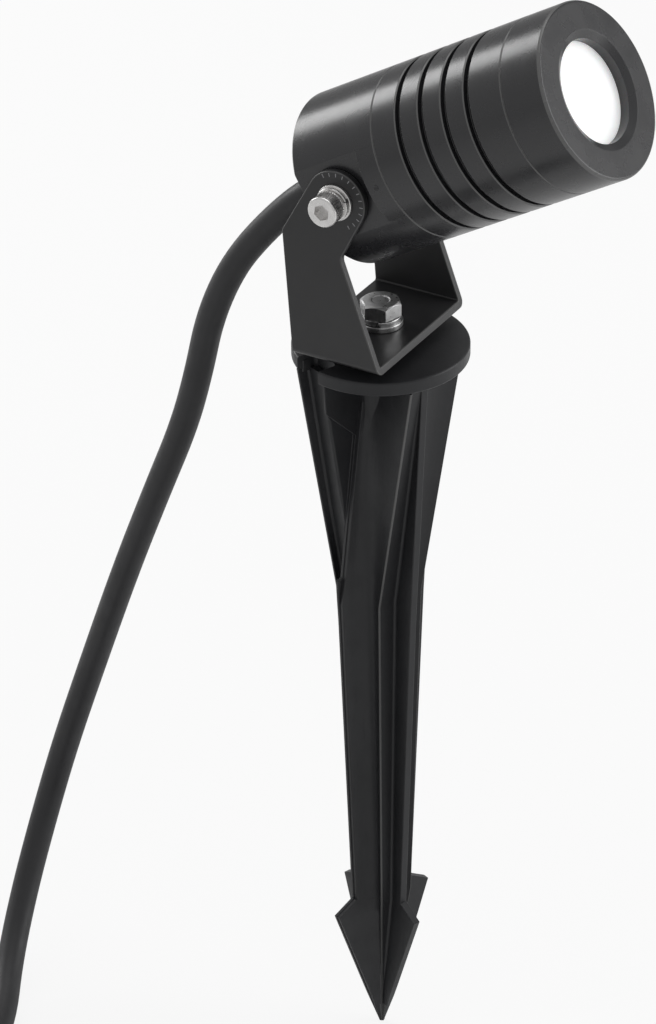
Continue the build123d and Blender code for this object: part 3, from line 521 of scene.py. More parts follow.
class Wiring(NodeTree):
    """Wires the shader nodes of one material."""

    def __init__(self, name: str) -> None:
        """Make a material with a single surface shader."""
        self.material = bpy.data.materials.new(name)
        self.material.use_nodes = True
        super().__init__(self.material.node_tree)
        self.tree.nodes.clear()
        self.shader = self.add("ShaderNodeBsdfPrincipled")
        output = self.add("ShaderNodeOutputMaterial")
        self.link(self.shader.outputs["BSDF"], output.inputs["Surface"])

    def math(self, operation: str, *terms: object) -> bpy.types.NodeSocket:
        """Add a math node whose terms are sockets or numbers, and return its result."""
        made = self.add("ShaderNodeMath", operation=operation)
        for socket, term in zip(made.inputs, terms):
            if isinstance(term, bpy.types.NodeSocket):
                self.link(term, socket)
            else:
                socket.default_value = term
        return made.outputs[0]

    def coordinates(self, place: Matrix | None = None) -> bpy.types.NodeSocket:
        """Give object coordinates in millimetres along a piece's own axes.

        Args:
            place: The piece's axes in the frame, in millimetres, or None for the frame's own.

        Returns:
            The vector socket.
        """
        source = self.add("ShaderNodeTexCoord").outputs["Object"]
        mapping = self.add("ShaderNodeMapping")
        inverse = (place or PLAIN).inverted()
        mapping.inputs["Location"].default_value = inverse.translation
        mapping.inputs["Rotation"].default_value = inverse.to_euler()
        mapping.inputs["Scale"].default_value = (1 / MM,) * 3
        self.link(source, mapping.inputs["Vector"])
        return mapping.outputs[0]

    def turned(self, vector: bpy.types.NodeSocket) -> bpy.types.NodeSocket:
        """Turn a vector into distance from the Z axis and height, for marks that run round."""
        parts = self.add("ShaderNodeSeparateXYZ")
        self.link(vector, parts.inputs[0])
        squares = self.math(
            "ADD",
            self.math("MULTIPLY", parts.outputs["X"], parts.outputs["X"]),
            self.math("MULTIPLY", parts.outputs["Y"], parts.outputs["Y"]),
        )
        joined = self.add("ShaderNodeCombineXYZ")
        self.link(self.math("SQRT", squares), joined.inputs["X"])
        self.link(parts.outputs["Z"], joined.inputs["Y"])
        return joined.outputs[0]

    def noise(self, vector: bpy.types.NodeSocket, size: float, detail: float = 2.0) -> bpy.types.NodeSocket:
        """Add soft noise whose features are about size millimetres across."""
        made = self.add("ShaderNodeTexNoise")
        made.inputs["Scale"].default_value = 1 / size
        made.inputs["Detail"].default_value = detail
        self.link(vector, made.inputs["Vector"])
        return made.outputs["Fac"]

    def tint(self, factor: bpy.types.NodeSocket, first: Point3, second: Point3) -> None:
        """Blend the base colour between two colours by a factor."""
        mix = self.add("ShaderNodeMix", data_type="RGBA")
        self.link(factor, mix.inputs["Factor"])
        mix.inputs[6].default_value = (*first, 1)
        mix.inputs[7].default_value = (*second, 1)
        self.link(mix.outputs[2], self.shader.inputs["Base Color"])

    def paint_edge_highlights(self, tone: float) -> None:
        """Paint a highlight: give the faces marked as edges a brighter colour."""
        marked = self.add("ShaderNodeAttribute", attribute_name="edge")
        mix = self.add("ShaderNodeMix", data_type="RGBA")
        base = self.shader.inputs["Base Color"]
        self.link(marked.outputs["Fac"], mix.inputs["Factor"])
        self.link(base.links[0].from_socket, mix.inputs[6])
        mix.inputs[7].default_value = (tone, tone, tone, 1)
        self.link(mix.outputs[2], base)

    def relief(self, height: bpy.types.NodeSocket, depth: float) -> None:
        """Bump the surface by a height of depth millimetres, over any relief before it."""
        bump = self.add("ShaderNodeBump")
        bump.inputs["Strength"].default_value = 1.0
        bump.inputs["Distance"].default_value = depth * MM
        normal = self.shader.inputs["Normal"]
        if normal.is_linked:
            self.link(normal.links[0].from_socket, bump.inputs["Normal"])
        self.link(height, bump.inputs["Height"])
        self.link(bump.outputs[0], normal)


@dataclass(frozen=True)
class Finish:
    """A surface with a fine grain, slow changes of tone, a small spread of gloss and a painted highlight on
    faces marked as edges.
    """

    name: str
    color: Point3
    roughness: float
    metallic: float = 0.0
    specular: float = 0.5
    grain: float = 0.3
    grain_depth: float = 0.002
    patch: float = 14.0
    tone_spread: float = 0.12
    gloss_spread: float = 0.05
    # Tone of the painted highlight on faces marked as edges; zero paints none.
    edge: float = 0.0

    def material(self, place: Matrix | None = None) -> bpy.types.Material:
        """Make the material.

        Args:
            place: Axes of the piece it goes on, or None for the frame's own.

        Returns:
            The material.
        """
        wiring = Wiring(self.name)
        shader = wiring.shader
        shader.inputs["Metallic"].default_value = self.metallic
        shader.inputs["Specular IOR Level"].default_value = self.specular
        vector = wiring.coordinates(place)
        patches = wiring.noise(vector, self.patch, 3.0)
        darker = tuple(part * (1 - self.tone_spread) for part in self.color)
        lighter = tuple(min(1.0, part * (1 + self.tone_spread)) for part in self.color)
        wiring.tint(wiring.span(patches, MIDDLE, (0.0, 1.0)), darker, lighter)
        # Faces marked as edges get the painted highlight's tone.
        if self.edge:
            wiring.paint_edge_highlights(self.edge)
        gloss = wiring.noise(vector, self.patch * 0.37, 4.0)
        low, high = self.roughness - self.gloss_spread, self.roughness + self.gloss_spread
        wiring.link(wiring.span(gloss, MIDDLE, (low, high)), shader.inputs["Roughness"])
        self.detail(wiring, vector)
        return wiring.material

    def detail(self, wiring: Wiring, vector: bpy.types.NodeSocket) -> None:
        """Add the finish's own relief to a material."""
        wiring.relief(wiring.noise(vector, self.grain, 2.0), self.grain_depth)


@dataclass(frozen=True)
class TurnedMetal(Finish):
    """Metal with fine marks left by a lathe, which run round the piece's Z axis."""

    mark: float = 0.12
    mark_depth: float = 0.004

    def detail(self, wiring: Wiring, vector: bpy.types.NodeSocket) -> None:
        """Add grain, then the lathe's marks."""
        super().detail(wiring, vector)
        wiring.relief(wiring.noise(wiring.turned(vector), self.mark, 3.0), self.mark_depth)


@dataclass(frozen=True)
class OrangePeel(Finish):
    """Baked powder coat, smooth with slow shallow waves."""

    wave: float = 1.1
    wave_depth: float = 0.006

    def detail(self, wiring: Wiring, vector: bpy.types.NodeSocket) -> None:
        """Add grain, then the coat's waves."""
        super().detail(wiring, vector)
        wiring.relief(wiring.noise(vector, self.wave, 1.0), self.wave_depth)


@dataclass(frozen=True)
class MouldedPlastic(Finish):
    """Moulded plastic with a spark-eroded grain, faint flow lines and dry handling scuffs."""

    flow: float = 2.2
    flow_stretch: float = 0.06
    flow_depth: float = 0.012
    scuff: float = 0.35

    def detail(self, wiring: Wiring, vector: bpy.types.NodeSocket) -> None:
        """Add grain, flow lines along Z and scuffs that dull the gloss."""
        super().detail(wiring, vector)
        drawn = wiring.add("ShaderNodeVectorMath", operation="MULTIPLY")
        drawn.inputs[1].default_value = (1, 1, self.flow_stretch)
        wiring.link(vector, drawn.inputs[0])
        wiring.relief(wiring.noise(drawn.outputs[0], self.flow, 2.0), self.flow_depth)
        scuffs = wiring.noise(drawn.outputs[0], self.flow * 0.3, 5.0)
        mask = wiring.math("POWER", wiring.span(scuffs, MIDDLE, (0.0, 1.0)), 6.0)
        roughness = wiring.shader.inputs["Roughness"]
        worn = wiring.math("MULTIPLY_ADD", mask, self.scuff * 0.3, roughness.links[0].from_socket)
        wiring.link(worn, roughness)


@dataclass(frozen=True)
class RubberSheath(Finish):
    """Rubber-sheathed lead with a talc-dry skin and shallow extrusion waves."""

    wave: float = 5.0
    wave_depth: float = 0.05

    def detail(self, wiring: Wiring, vector: bpy.types.NodeSocket) -> None:
        """Add grain and the extrusion's waves."""
        super().detail(wiring, vector)
        wiring.relief(wiring.noise(vector, self.wave, 1.0), self.wave_depth)


@dataclass(frozen=True)
class FrostedLens(Finish):
    """Opal lens with a painted glow that lifts it towards white."""

    # Strength of the painted glow; nothing behind the lens is a lamp.
    glow: float = 0.35

    def detail(self, wiring: Wiring, vector: bpy.types.NodeSocket) -> None:
        """Add the frosting and the painted glow."""
        super().detail(wiring, vector)
        wiring.shader.inputs["Emission Color"].default_value = (1, 1, 1, 1)
        wiring.shader.inputs["Emission Strength"].default_value = self.glow
        wiring.shader.inputs["Subsurface Weight"].default_value = 0.2
        wiring.shader.inputs["Subsurface Scale"].default_value = 0.004


class Surface(Enum):
    """Finishes of the spotlight."""

    # edge= gives the tone of the painted highlight on broken edges and vane tips.
    ANODISED = TurnedMetal(
        "black_anodised", (0.016, 0.016, 0.018), 0.27, specular=0.72, grain=0.25, grain_depth=0.0006,
        patch=22.0, tone_spread=0.10, gloss_spread=0.03, mark=0.22, mark_depth=0.0005, edge=0.11,
    )
    COATED = OrangePeel(
        "black_powder_coat", (0.017, 0.017, 0.018), 0.36, specular=0.55, grain=0.3, grain_depth=0.0012,
        wave=1.3, wave_depth=0.003, edge=0.06,
    )
    MOULDED = MouldedPlastic(
        "black_moulded_plastic",
        (0.018, 0.0185, 0.0205),
        0.42,
        specular=0.42,
        grain=0.35,
        grain_depth=0.002,
        edge=0.08,
    )
    GLAND = MouldedPlastic("gland_nylon", (0.014, 0.014, 0.015), 0.5, grain=0.3, grain_depth=0.003)
    STAINLESS = TurnedMetal(
        "bright_stainless", (0.80, 0.79, 0.78), 0.30, metallic=1.0, grain=0.2, grain_depth=0.001,
        patch=3.0, tone_spread=0.08, gloss_spread=0.06, mark=0.10, mark_depth=0.002,
    )
    PLATED = TurnedMetal(
        "plated_steel", (0.66, 0.66, 0.66), 0.33, metallic=1.0, grain=0.5, grain_depth=0.004,
        patch=2.5, tone_spread=0.15, gloss_spread=0.07, mark=0.2, mark_depth=0.001,
    )
    RUBBER = RubberSheath(
        "black_rubber", (0.020, 0.020, 0.022), 0.50, grain=0.28, grain_depth=0.006, tone_spread=0.15,
    )
    SEAL = RubberSheath("seal_rubber", (0.02, 0.02, 0.02), 0.6, wave=2.0, wave_depth=0.02)
    SILICONE = RubberSheath("clear_silicone", (0.72, 0.72, 0.68), 0.45, wave=2.0, wave_depth=0.02)
    LENS = FrostedLens("opal_lens", (0.93, 0.94, 0.95), 0.28, grain=0.4, grain_depth=0.004)
    BRASS = TurnedMetal("turned_brass", (0.72, 0.52, 0.22), 0.28, metallic=1.0, patch=3.0)
    NICKEL = TurnedMetal("nickel_plate", (0.74, 0.72, 0.68), 0.2, metallic=1.0, patch=4.0)
    MIRROR = Finish("metallised_mirror", (0.86, 0.86, 0.87), 0.08, metallic=1.0, gloss_spread=0.02)
    BOARD = OrangePeel("solder_mask", (0.03, 0.20, 0.08), 0.35, wave=0.8)
    LED_BOARD = OrangePeel("white_solder_mask", (0.84, 0.85, 0.85), 0.35, wave=0.8)
    PHOSPHOR = Finish("phosphor", (0.88, 0.70, 0.15), 0.5, grain=0.1, grain_depth=0.004)
    COMPONENTS = MouldedPlastic("component_resin", (0.05, 0.05, 0.055), 0.45)
    TIE = MouldedPlastic("tie_nylon", (0.04, 0.04, 0.042), 0.42, flow=1.0)
    MARKS = Finish("scale_paint", (0.36, 0.36, 0.37), 0.5, grain=0.15, grain_depth=0.002)


class Finisher:
    """Hands out each finish's material and puts finished pieces on their bodies."""

    def __init__(self) -> None:
        """Start with no materials made."""
        self.made: dict[str, bpy.types.Material] = {}

    def material(self, surface: Surface, place: Matrix | None = None, part: str = "") -> bpy.types.Material:
        """Give a finish's material, made once for each part that it is aligned to.

        Args:
            surface: The finish.
            place: Axes that the finish's marks follow.
            part: Name of the part with those axes, empty for the frame's own.

        Returns:
            The material.
        """
        key = f"{surface.value.name}{'_' + part if part else ''}"
        if key not in self.made:
            self.made[key] = surface.value.material(place)
            self.made[key].name = key
        return self.made[key]

    def coat(self, thing: bpy.types.Object, material: bpy.types.Material) -> bpy.types.Object:
        """Give a piece one material all over."""
        thing.data.materials.clear()
        thing.data.materials.append(material)
        return thing

    def keep(self, node: str, material: bpy.types.Material) -> None:
        """Give a kept CAD node its material."""
        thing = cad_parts[node]
        if not thing.material_slots:
            thing.data.materials.append(material)
        for slot in thing.material_slots:
            slot.material = material
        LOG.info("kept %s in %s", node, material.name)

    def deliver(self, thing: bpy.types.Object, body: Body, slot: str, *nodes: str) -> bpy.types.Object:
        """Put a finished piece on its body.

        Args:
            thing: The piece.
            body: The body it rides on.
            slot: Name of the record's slot for the piece; not used.
            *nodes: CAD nodes that it stands for.

        Returns:
            The piece.
        """
        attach(thing, body.value)
        if nodes:
            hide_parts(*nodes)
        LOG.info("made %s on %s, %d faces", thing.name, body.value, len(getattr(thing.data, "polygons", ())))
        return thing

    def dress(
        self, node: str, thing: bpy.types.Object, body: Body, material: bpy.types.Material
    ) -> bpy.types.Object:
        """Coat the piece that stands for a CAD node and put it on its body.

        Args:
            node: The CAD node, whose slot has the same name.
            thing: The piece.
            body: The body it rides on.
            material: Its material.

        Returns:
            The piece.
        """
        return self.deliver(self.coat(thing, material), body, node, node)


# ---------------------------------------------------------------- ground spike


@dataclass
class GroundSpike:
    """Moulded spike: a flange and boss over four barbed fins with a thin vane beside each."""

    flange_radius: float = 24.0
    flange_thickness: float = 4.0
    flange_edge: float = 0.6
    boss_radius: float = 8.5
    boss_top: float = 7.0
    length: float = 223.65
    turn: float = -22.5
    fin_half: float = 1.1
    notch_radius: float = 17.4
    notch_width: float = 9.8
    notch_turn: float = -3.5
    hook_reach: Point2 = (18.0, 21.6)
    hook_side: Point2 = (-8.6, -6.0)
    hook_top: float = 2.4
    fin: tuple[Point2, ...] = (
        (0.0, 19.2), (79.0, 14.3), (175.5, 10.1), (179.2, 16.4), (223.65, 0.7),
    )
    window: tuple[Point2, ...] = (
        (12.6, 18.4), (22.3, 8.6), (66.0, 13.4), (66.6, 15.0),
    )
    vane_reach: tuple[Point2, ...] = ((0.0, 22.6), (74.0, 8.4), (175.5, 6.6), (223.65, 0.6))
    wider: tuple[Point2, ...] = ((0.0, 0.0), (74.0, 1.5), (82.0, 0.0), (223.65, 0.0))
    lip: tuple[Point2, ...] = ((0.0, 5.4), (22.3, 8.4), (66.0, 13.2), (80.0, 15.0), (223.65, 20.0))
    gusset: float = 1.0
    vane_offset: tuple[Point2, ...] = ((0.0, 7.3), (74.0, 7.1), (175.5, 5.1), (223.65, 0.45))
    slot_depth: tuple[Point2, ...] = ((0.0, 3.4), (74.0, 0.6), (175.5, 0.5), (223.65, 0.1))
    vane_half: float = 0.4
    core: tuple[Point2, ...] = ((8.2, 0.0), (6.4, -18.0), (2.4, -60.0))

    @staticmethod
    def at(table: Sequence[Point2], depth: float) -> float:
        """Read a table of (depth, size) at a depth, along straight lines."""
        for (start, first), (end, last) in zip(table, table[1:]):
            if depth <= end:
                share = (depth - start) / (end - start) if end > start else 1.0
                return first + (last - first) * max(0.0, share)
        return table[-1][1]

    def fin_radius(self, quarter: int, depth: float) -> float:
        """Give a fin's radius at a depth, with the lead's opening in the last fin."""
        radius = self.at(self.fin, depth)
        if quarter == 3 and self.window[0][0] <= depth <= self.window[-1][0]:
            radius = min(radius, self.at(self.window, depth))
        return radius

    def depths(self) -> list[float]:
        """Give the depths where the section is drawn, close together where it changes."""
        marks = {0.3, self.length}
        for table in (self.fin, self.window, self.vane_reach):
            marks.update(depth for depth, _ in table if depth > 0)
        marks.update(180.5 + 4.0 * step for step in range(10))
        marks.update(8.0 * step for step in range(1, 23))
        return sorted(marks)

    def sweep_in(self, depth: float, before: float) -> list[Point2]:
        """Draw the hollow face from one fin's edge to the next vane's edge.

        Args:
            depth: Depth below the flange.
            before: Radius of the fin where the face starts.

        Returns:
            Points of the curve between its two ends.
        """
        thin = min(1.0, self.at(self.fin, depth) / 5.0)
        half = self.fin_half * thin
        outer = self.at(self.vane_offset, depth) + self.vane_half * thin
        pull = min(before, outer) - 4.0 * thin
        start = Vector((half, 0.5 * thin - before))
        bend = Vector((half + 1.2 * thin, -max(pull, 1.6 * half)))
        end = Vector((self.at(self.vane_reach, depth), -outer))
        steps = 12
        points = []
        for step in range(1, steps):
            share = step / steps
            points.append(tuple(start * (1 - share) ** 2 + bend * 2 * share * (1 - share) + end * share**2))
        return points

    def section(self, depth: float) -> list[Point3]:
        """Draw the closed outline of the fins and vanes at a depth."""
        thin = min(1.0, self.at(self.fin, depth) / 5.0)
        half, vane = self.fin_half * thin, self.vane_half * thin
        reach, offset = self.at(self.vane_reach, depth), self.at(self.vane_offset, depth)
        outer, inner = offset + vane, max(offset - vane, half * 1.05)
        floor = max(half, reach - self.at(self.slot_depth, depth))
        corners: list[Corner] = []
        for quarter in range(4):
            before = self.fin_radius((quarter + 3) % 4, depth)
            here = self.fin_radius(quarter, depth)
            tip = reach + (self.at(self.wider, depth) if quarter == 3 else 0.0)
            angle = math.radians(90 * quarter)
            shape = []
            if quarter == 0:
                edge = min(before - 0.3 * thin, self.at(self.lip, depth))
                plate = (self.gusset - self.fin_half) * thin
                shape = [(plate, -before, 0.2 * thin), (plate, -edge - 0.02, 0.02)]
                before = edge
            shape += [
                (half, -before, 0.25 * thin),
                *((x, y, 0.0) for x, y in self.sweep_in(depth, before)),
                (tip, -outer, 0.15 * thin),
                (tip, -inner, 0.15 * thin),
                (floor, -inner, 0.8 * thin),
                (floor, -half, 0.8 * thin),
                (here, -half, 0.25 * thin),
            ]
            for x, y, radius in shape:
                corners.append(
                    Corner(
                        x * math.cos(angle) - y * math.sin(angle),
                        x * math.sin(angle) + y * math.cos(angle),
                        max(radius, 0.02) if radius else 0.0,
                    )
                )
        return [(x, y, -depth) for x, y in rounded(corners, 4)]

    def on_vane_tip_highlight(self, face: bpy.types.MeshPolygon) -> bool:
        """Tell whether a face is the tip of a vane, which gets a painted highlight."""
        spot = Matrix.Rotation(math.radians(-self.turn), 3, "Z") @ (face.center / MM)
        reach, offset = self.at(self.vane_reach, -spot.z), self.at(self.vane_offset, -spot.z)
        for quarter in range(3):
            turned = Matrix.Rotation(math.radians(-90 * quarter), 3, "Z") @ spot
            if -0.3 < turned.x - reach < 1.7 and abs(turned.y + offset) < self.vane_half and spot.z < -0.2:
                return True
        return False

    def blade(self) -> bpy.types.Object:
        """Skin the fins and vanes from the flange to the tip."""
        sections = [self.section(depth) for depth in reversed(self.depths())]
        return Shell().loft(sections).placed("spike_fins", spin(self.turn))

    def top(self) -> bpy.types.Object:
        """Turn the flange, its boss and the core under it, with the notch for the lead."""
        profile = rounded(
            [
                Corner(0, self.boss_top),
                Corner(0, self.core[-1][1]),
                Corner(*self.core[2], 0.6),
                Corner(*self.core[1], 6.0),
                Corner(self.core[0][0], 0, 0.8),
                Corner(self.flange_radius, 0, self.flange_edge),
                Corner(self.flange_radius, self.flange_thickness, self.flange_edge),
                Corner(self.boss_radius, self.flange_thickness, 0.6),
                Corner(self.boss_radius, self.boss_top, 0.4),
            ]
        )
        flange = turned("spike_top", profile, PLAIN, 120)
        half = self.notch_width / 2
        outline = rounded(
            [
                Corner(self.notch_radius, -half, 1.2),
                Corner(self.flange_radius + 4, -half),
                Corner(self.flange_radius + 4, half),
                Corner(self.notch_radius, half, 1.2),
            ]
        )
        turn = spin(self.turn + 270 + self.notch_turn)
        notch = raised("notch", outline, -1.0, self.boss_top + 1, turn)
        return combine(flange, notch, Cut.REMOVE)

    def hook(self) -> bpy.types.Object:
        """Block on the vane beside the notch, which keeps the lead in it."""
        (near, far), (right, left) = self.hook_reach, self.hook_side
        outline = rounded(
            [
                Corner(near, right, 0.3),
                Corner(far, right, 0.4),
                Corner(far, left, 0.4),
                Corner(near, left, 0.3),
            ],
            3,
        )
        turn = spin(self.turn + 270)
        return raised("hook", outline, -1.0, self.hook_top, turn)

    def build(self, finisher: Finisher) -> None:
        """Make the spike and put it on its body."""
        spike = self.blade()
        combine(spike, self.top(), Cut.JOIN)
        combine(spike, self.hook(), Cut.JOIN)
        spike.name = spike.data.name = "ground_spike"
        smooth(spike, 30.0)
        # The vanes' tips get a painted highlight.
        mark_highlight_faces(spike, self.on_vane_tip_highlight)
        finisher.dress("spike", spike, Body.SPIKE, finisher.material(Surface.MOULDED))
        finisher.keep("thread_insert", finisher.material(Surface.BRASS))


# ----------------------------------------------------------------- swivel bolt


@dataclass
class SwivelBolt:
    """Hexagon bolt with its washers, which clamps the yoke to the spike."""

    seat: float = 9.05
    thread: float = 6.0
    flats: float = 10.0
    head_height: float = 4.0
    length: float = 25.0
    washer: Point2 = (12.0, 1.6)
    spring: Point2 = (11.0, 1.6)
    turn: float = 13.0
    spring_turn: float = -1.2

    @property
    def under_head(self) -> float:
        """Height of the underside of the bolt's head."""
        return self.seat + self.washer[1] + self.spring[1]

    def bolt(self) -> bpy.types.Object:
        """Make the bolt with a chamfered hexagonal head and a plain shank."""
        low, high = self.under_head, self.under_head + self.head_height
        corner = self.flats / math.sqrt(3)
        place = spin(self.turn)
        head = raised("swivel_hexagon_bolt", hexagon(self.flats), low, high, place)
        dome = rounded(
            [
                Corner(0, low - 1),
                Corner(corner + 0.05, low - 1),
                Corner(corner + 0.05, high - 0.75, 0.3),
                Corner(self.flats / 2 - 0.25, high, 0.3),
                Corner(2.6, high, 0.3),
                Corner(2.3, high - 0.18, 0.3),
                Corner(0, high - 0.18),
            ]
        )
        combine(head, turned("dome", dome, place, 96), Cut.KEEP)
        tip, full, root = low - self.length, low - 24, low + 0.5
        shank = [(0, root), (0, tip), (2.4, tip), (3.0, full), (3.0, root)]
        combine(head, turned("shank", shank, place, 48), Cut.JOIN)
        return soften_edges(head, 0.12, 35)

    def build(self, finisher: Finisher) -> None:
        """Make the bolt and its washers and put them on the spike's body."""
        metal = finisher.material(Surface.PLATED)
        finisher.dress("swivel_bolt", smooth(self.bolt(), 30.0), Body.SPIKE, metal)
        across, thick = self.washer
        washer = flat_washer("swivel_plain_washer", across / 2, self.thread / 2 + 0.2, thick - 0.05)
        seat_in_place(washer, shift(0, 0, self.seat + 0.05))
        finisher.dress("swivel_flat_washer", washer, Body.SPIKE, metal)
        across, height = self.spring
        spring = spring_washer("swivel_lock_washer", across / 2, self.thread / 2 + 0.1, height)
        seat_in_place(spring, shift(0, 0, self.seat + thick) @ Matrix.Rotation(self.spring_turn, 4, "Z"))
        finisher.dress("swivel_spring_washer", spring, Body.SPIKE, metal)


def flat_washer(name: str, outer: float, inner: float, thickness: float) -> bpy.types.Object:
    """Make a plain washer on its own origin, in millimetres.

    Args:
        name: Name of the piece.
        outer: Outer radius.
        inner: Radius of the hole.
        thickness: Its height above the XY plane.

    Returns:
        The washer, not yet in its place.
    """
    profile = rounded(
        [
            Corner(inner, 0, 0.08),
            Corner(outer, 0, 0.2),
            Corner(outer, thickness, 0.2),
            Corner(inner, thickness, 0.08),
        ]
    )
    washer = turned(name, profile, FULL_SIZE, 96)
    return smooth(washer, 30.0)


def spring_washer(name: str, outer: float, inner: float, thickness: float) -> bpy.types.Object:
    """Make a split lock washer on its own origin, in millimetres.

    Args:
        name: Name of the piece.
        outer: Outer radius.
        inner: Radius of the hole.
        thickness: Height that it fills when it is clamped.

    Returns:
        The washer, not yet in its place, with its split at +X.
    """
    count, gap, rise = 80, math.radians(9), thickness * 0.16
    rings = []
    for index in range(count + 1):
        share = index / count
        angle = gap / 2 + (2 * math.pi - gap) * share
        low = rise * share
        high = thickness - rise * (1 - share)
        corners = [
            Corner(inner, low, 0.1),
            Corner(outer, low, 0.18),
            Corner(outer, high, 0.18),
            Corner(inner, high, 0.1),
        ]
        shift = gap * 0.45 * (1 if index == 0 else -1 if index == count else 0)
        ring = []
        for radius, height in rounded(corners, 3):
            lean = angle - shift * (height / thickness - 0.5) * 2
            ring.append((radius * math.cos(lean), radius * math.sin(lean), height))
        rings.append(ring)
    washer = Shell().loft(rings).placed(name, FULL_SIZE)
    return smooth(washer, 30.0)


# ------------------------------------------------------------------------ yoke


@dataclass
class Yoke:
    """Folded sheet yoke with two ears and a scale of angles round the near pivot."""

    sheet: float = 2.0
    base: float = 7.05
    inside_half: float = 21.3
    bend_outside: float = 2.2
    bend_inside: float = 0.5
    pivot: float = 55.5
    ear_radius: float = 8.5
    foot_half: float = 13.5
    heel: Point2 = (-16.35, -12.0)
    heel_round: float = 2.0
    neck: Point2 = (1.1, -16.6)
    neck_round: float = 3.0
    pivot_hole: float = 2.58
    swivel_hole: float = 3.08
    edge: float = 0.32
    ticks: int = 13
    tick_start: float = -60.0
    tick_step: float = 15.0
    tick_reach: Point2 = (7.0, 8.0)
    tick_half: float = 0.09
    tick_height: float = 0.03

    def tangent(self, corner: Point2, side: int) -> float:
        """Angle in degrees where the line from a corner touches the ear's round head."""
        away = math.hypot(*corner)
        return math.degrees(math.atan2(corner[1], corner[0]) + side * math.acos(self.ear_radius / away))

    def sheet_piece(self) -> bpy.types.Object:
        """Fold the channel, trim its ears and drill it."""
        outside, inside = self.inside_half + self.sheet, self.inside_half
        top = self.pivot + self.ear_radius + 2
        low, floor = self.base, self.base + self.sheet
        bend, fold = self.bend_outside, self.bend_inside
        channel = rounded(
            [
                Corner(-outside, low, bend),
                Corner(outside, low, bend),
                Corner(outside, top),
                Corner(inside, top),
                Corner(inside, floor, fold),
                Corner(-inside, floor, fold),
                Corner(-inside, top),
                Corner(-outside, top),
            ],
            8,
        )
        yoke = raised("folded_yoke", channel, -30, 30, AXES_FORWARD)
        across = shift(0, 0, self.pivot) @ spin(90, "X")
        ears = raised("ears", self.ear_face(), -40, 40, across)
        combine(yoke, ears, Cut.KEEP)
        pin = turned("pin", disc(self.pivot_hole, -60, 60), across)
        combine(yoke, pin, Cut.REMOVE)
        bolt = turned("bolt", disc(self.swivel_hole, 0, 20), PLAIN)
        combine(yoke, bolt, Cut.REMOVE)
        return soften_edges(yoke, self.edge, 50)

    def ear_face(self) -> list[Point2]:
        """Draw the closed outline of an ear, anticlockwise from its front foot."""
        foot = self.base - self.pivot - 2
        rear, front = self.tangent(self.heel, -1) % 360, self.tangent(self.neck, 1)
        head = arc((0, 0), self.ear_radius, front, rear, 40)
        corners = [
            Corner(-self.foot_half, foot),
            Corner(self.foot_half, foot),
            Corner(*self.neck, self.neck_round),
            *(Corner(*point) for point in head),
            Corner(*self.heel, self.heel_round),
        ]
        return rounded(corners, 8)

    def scale_marks(self, material: bpy.types.Material) -> bpy.types.Object:
        """Print the scale of angles on the near ear, round the pivot.

        Args:
            material: The marks' paint.

        Returns:
            The marks as one mesh.
        """
        (near, far), half = self.tick_reach, self.tick_half
        tick = [(near, -half), (far, -half), (far, half), (near, half)]
        marks = raised("angle_scale", tick, 0, self.tick_height, FULL_SIZE)
        ring_tree().apply(
            marks,
            Count=self.ticks,
            Step=math.radians(self.tick_step),
            Start=math.radians(self.tick_start),
            Material=material,
        )
        near_ear = shift(0, -self.inside_half - self.sheet, self.pivot)
        return seat_in_place(marks, near_ear @ spin(90, "X"))

    def build(self, finisher: Finisher) -> None:
        """Make the yoke and put it on the bracket's body."""
        yoke = smooth(self.sheet_piece(), 30.0)
        finisher.dress("yoke_bracket", yoke, Body.BRACKET, finisher.material(Surface.COATED))
        marks = self.scale_marks(finisher.material(Surface.MARKS))
        finisher.deliver(marks, Body.BRACKET, "yoke_bracket")


# ------------------------------------------------------------------------ head


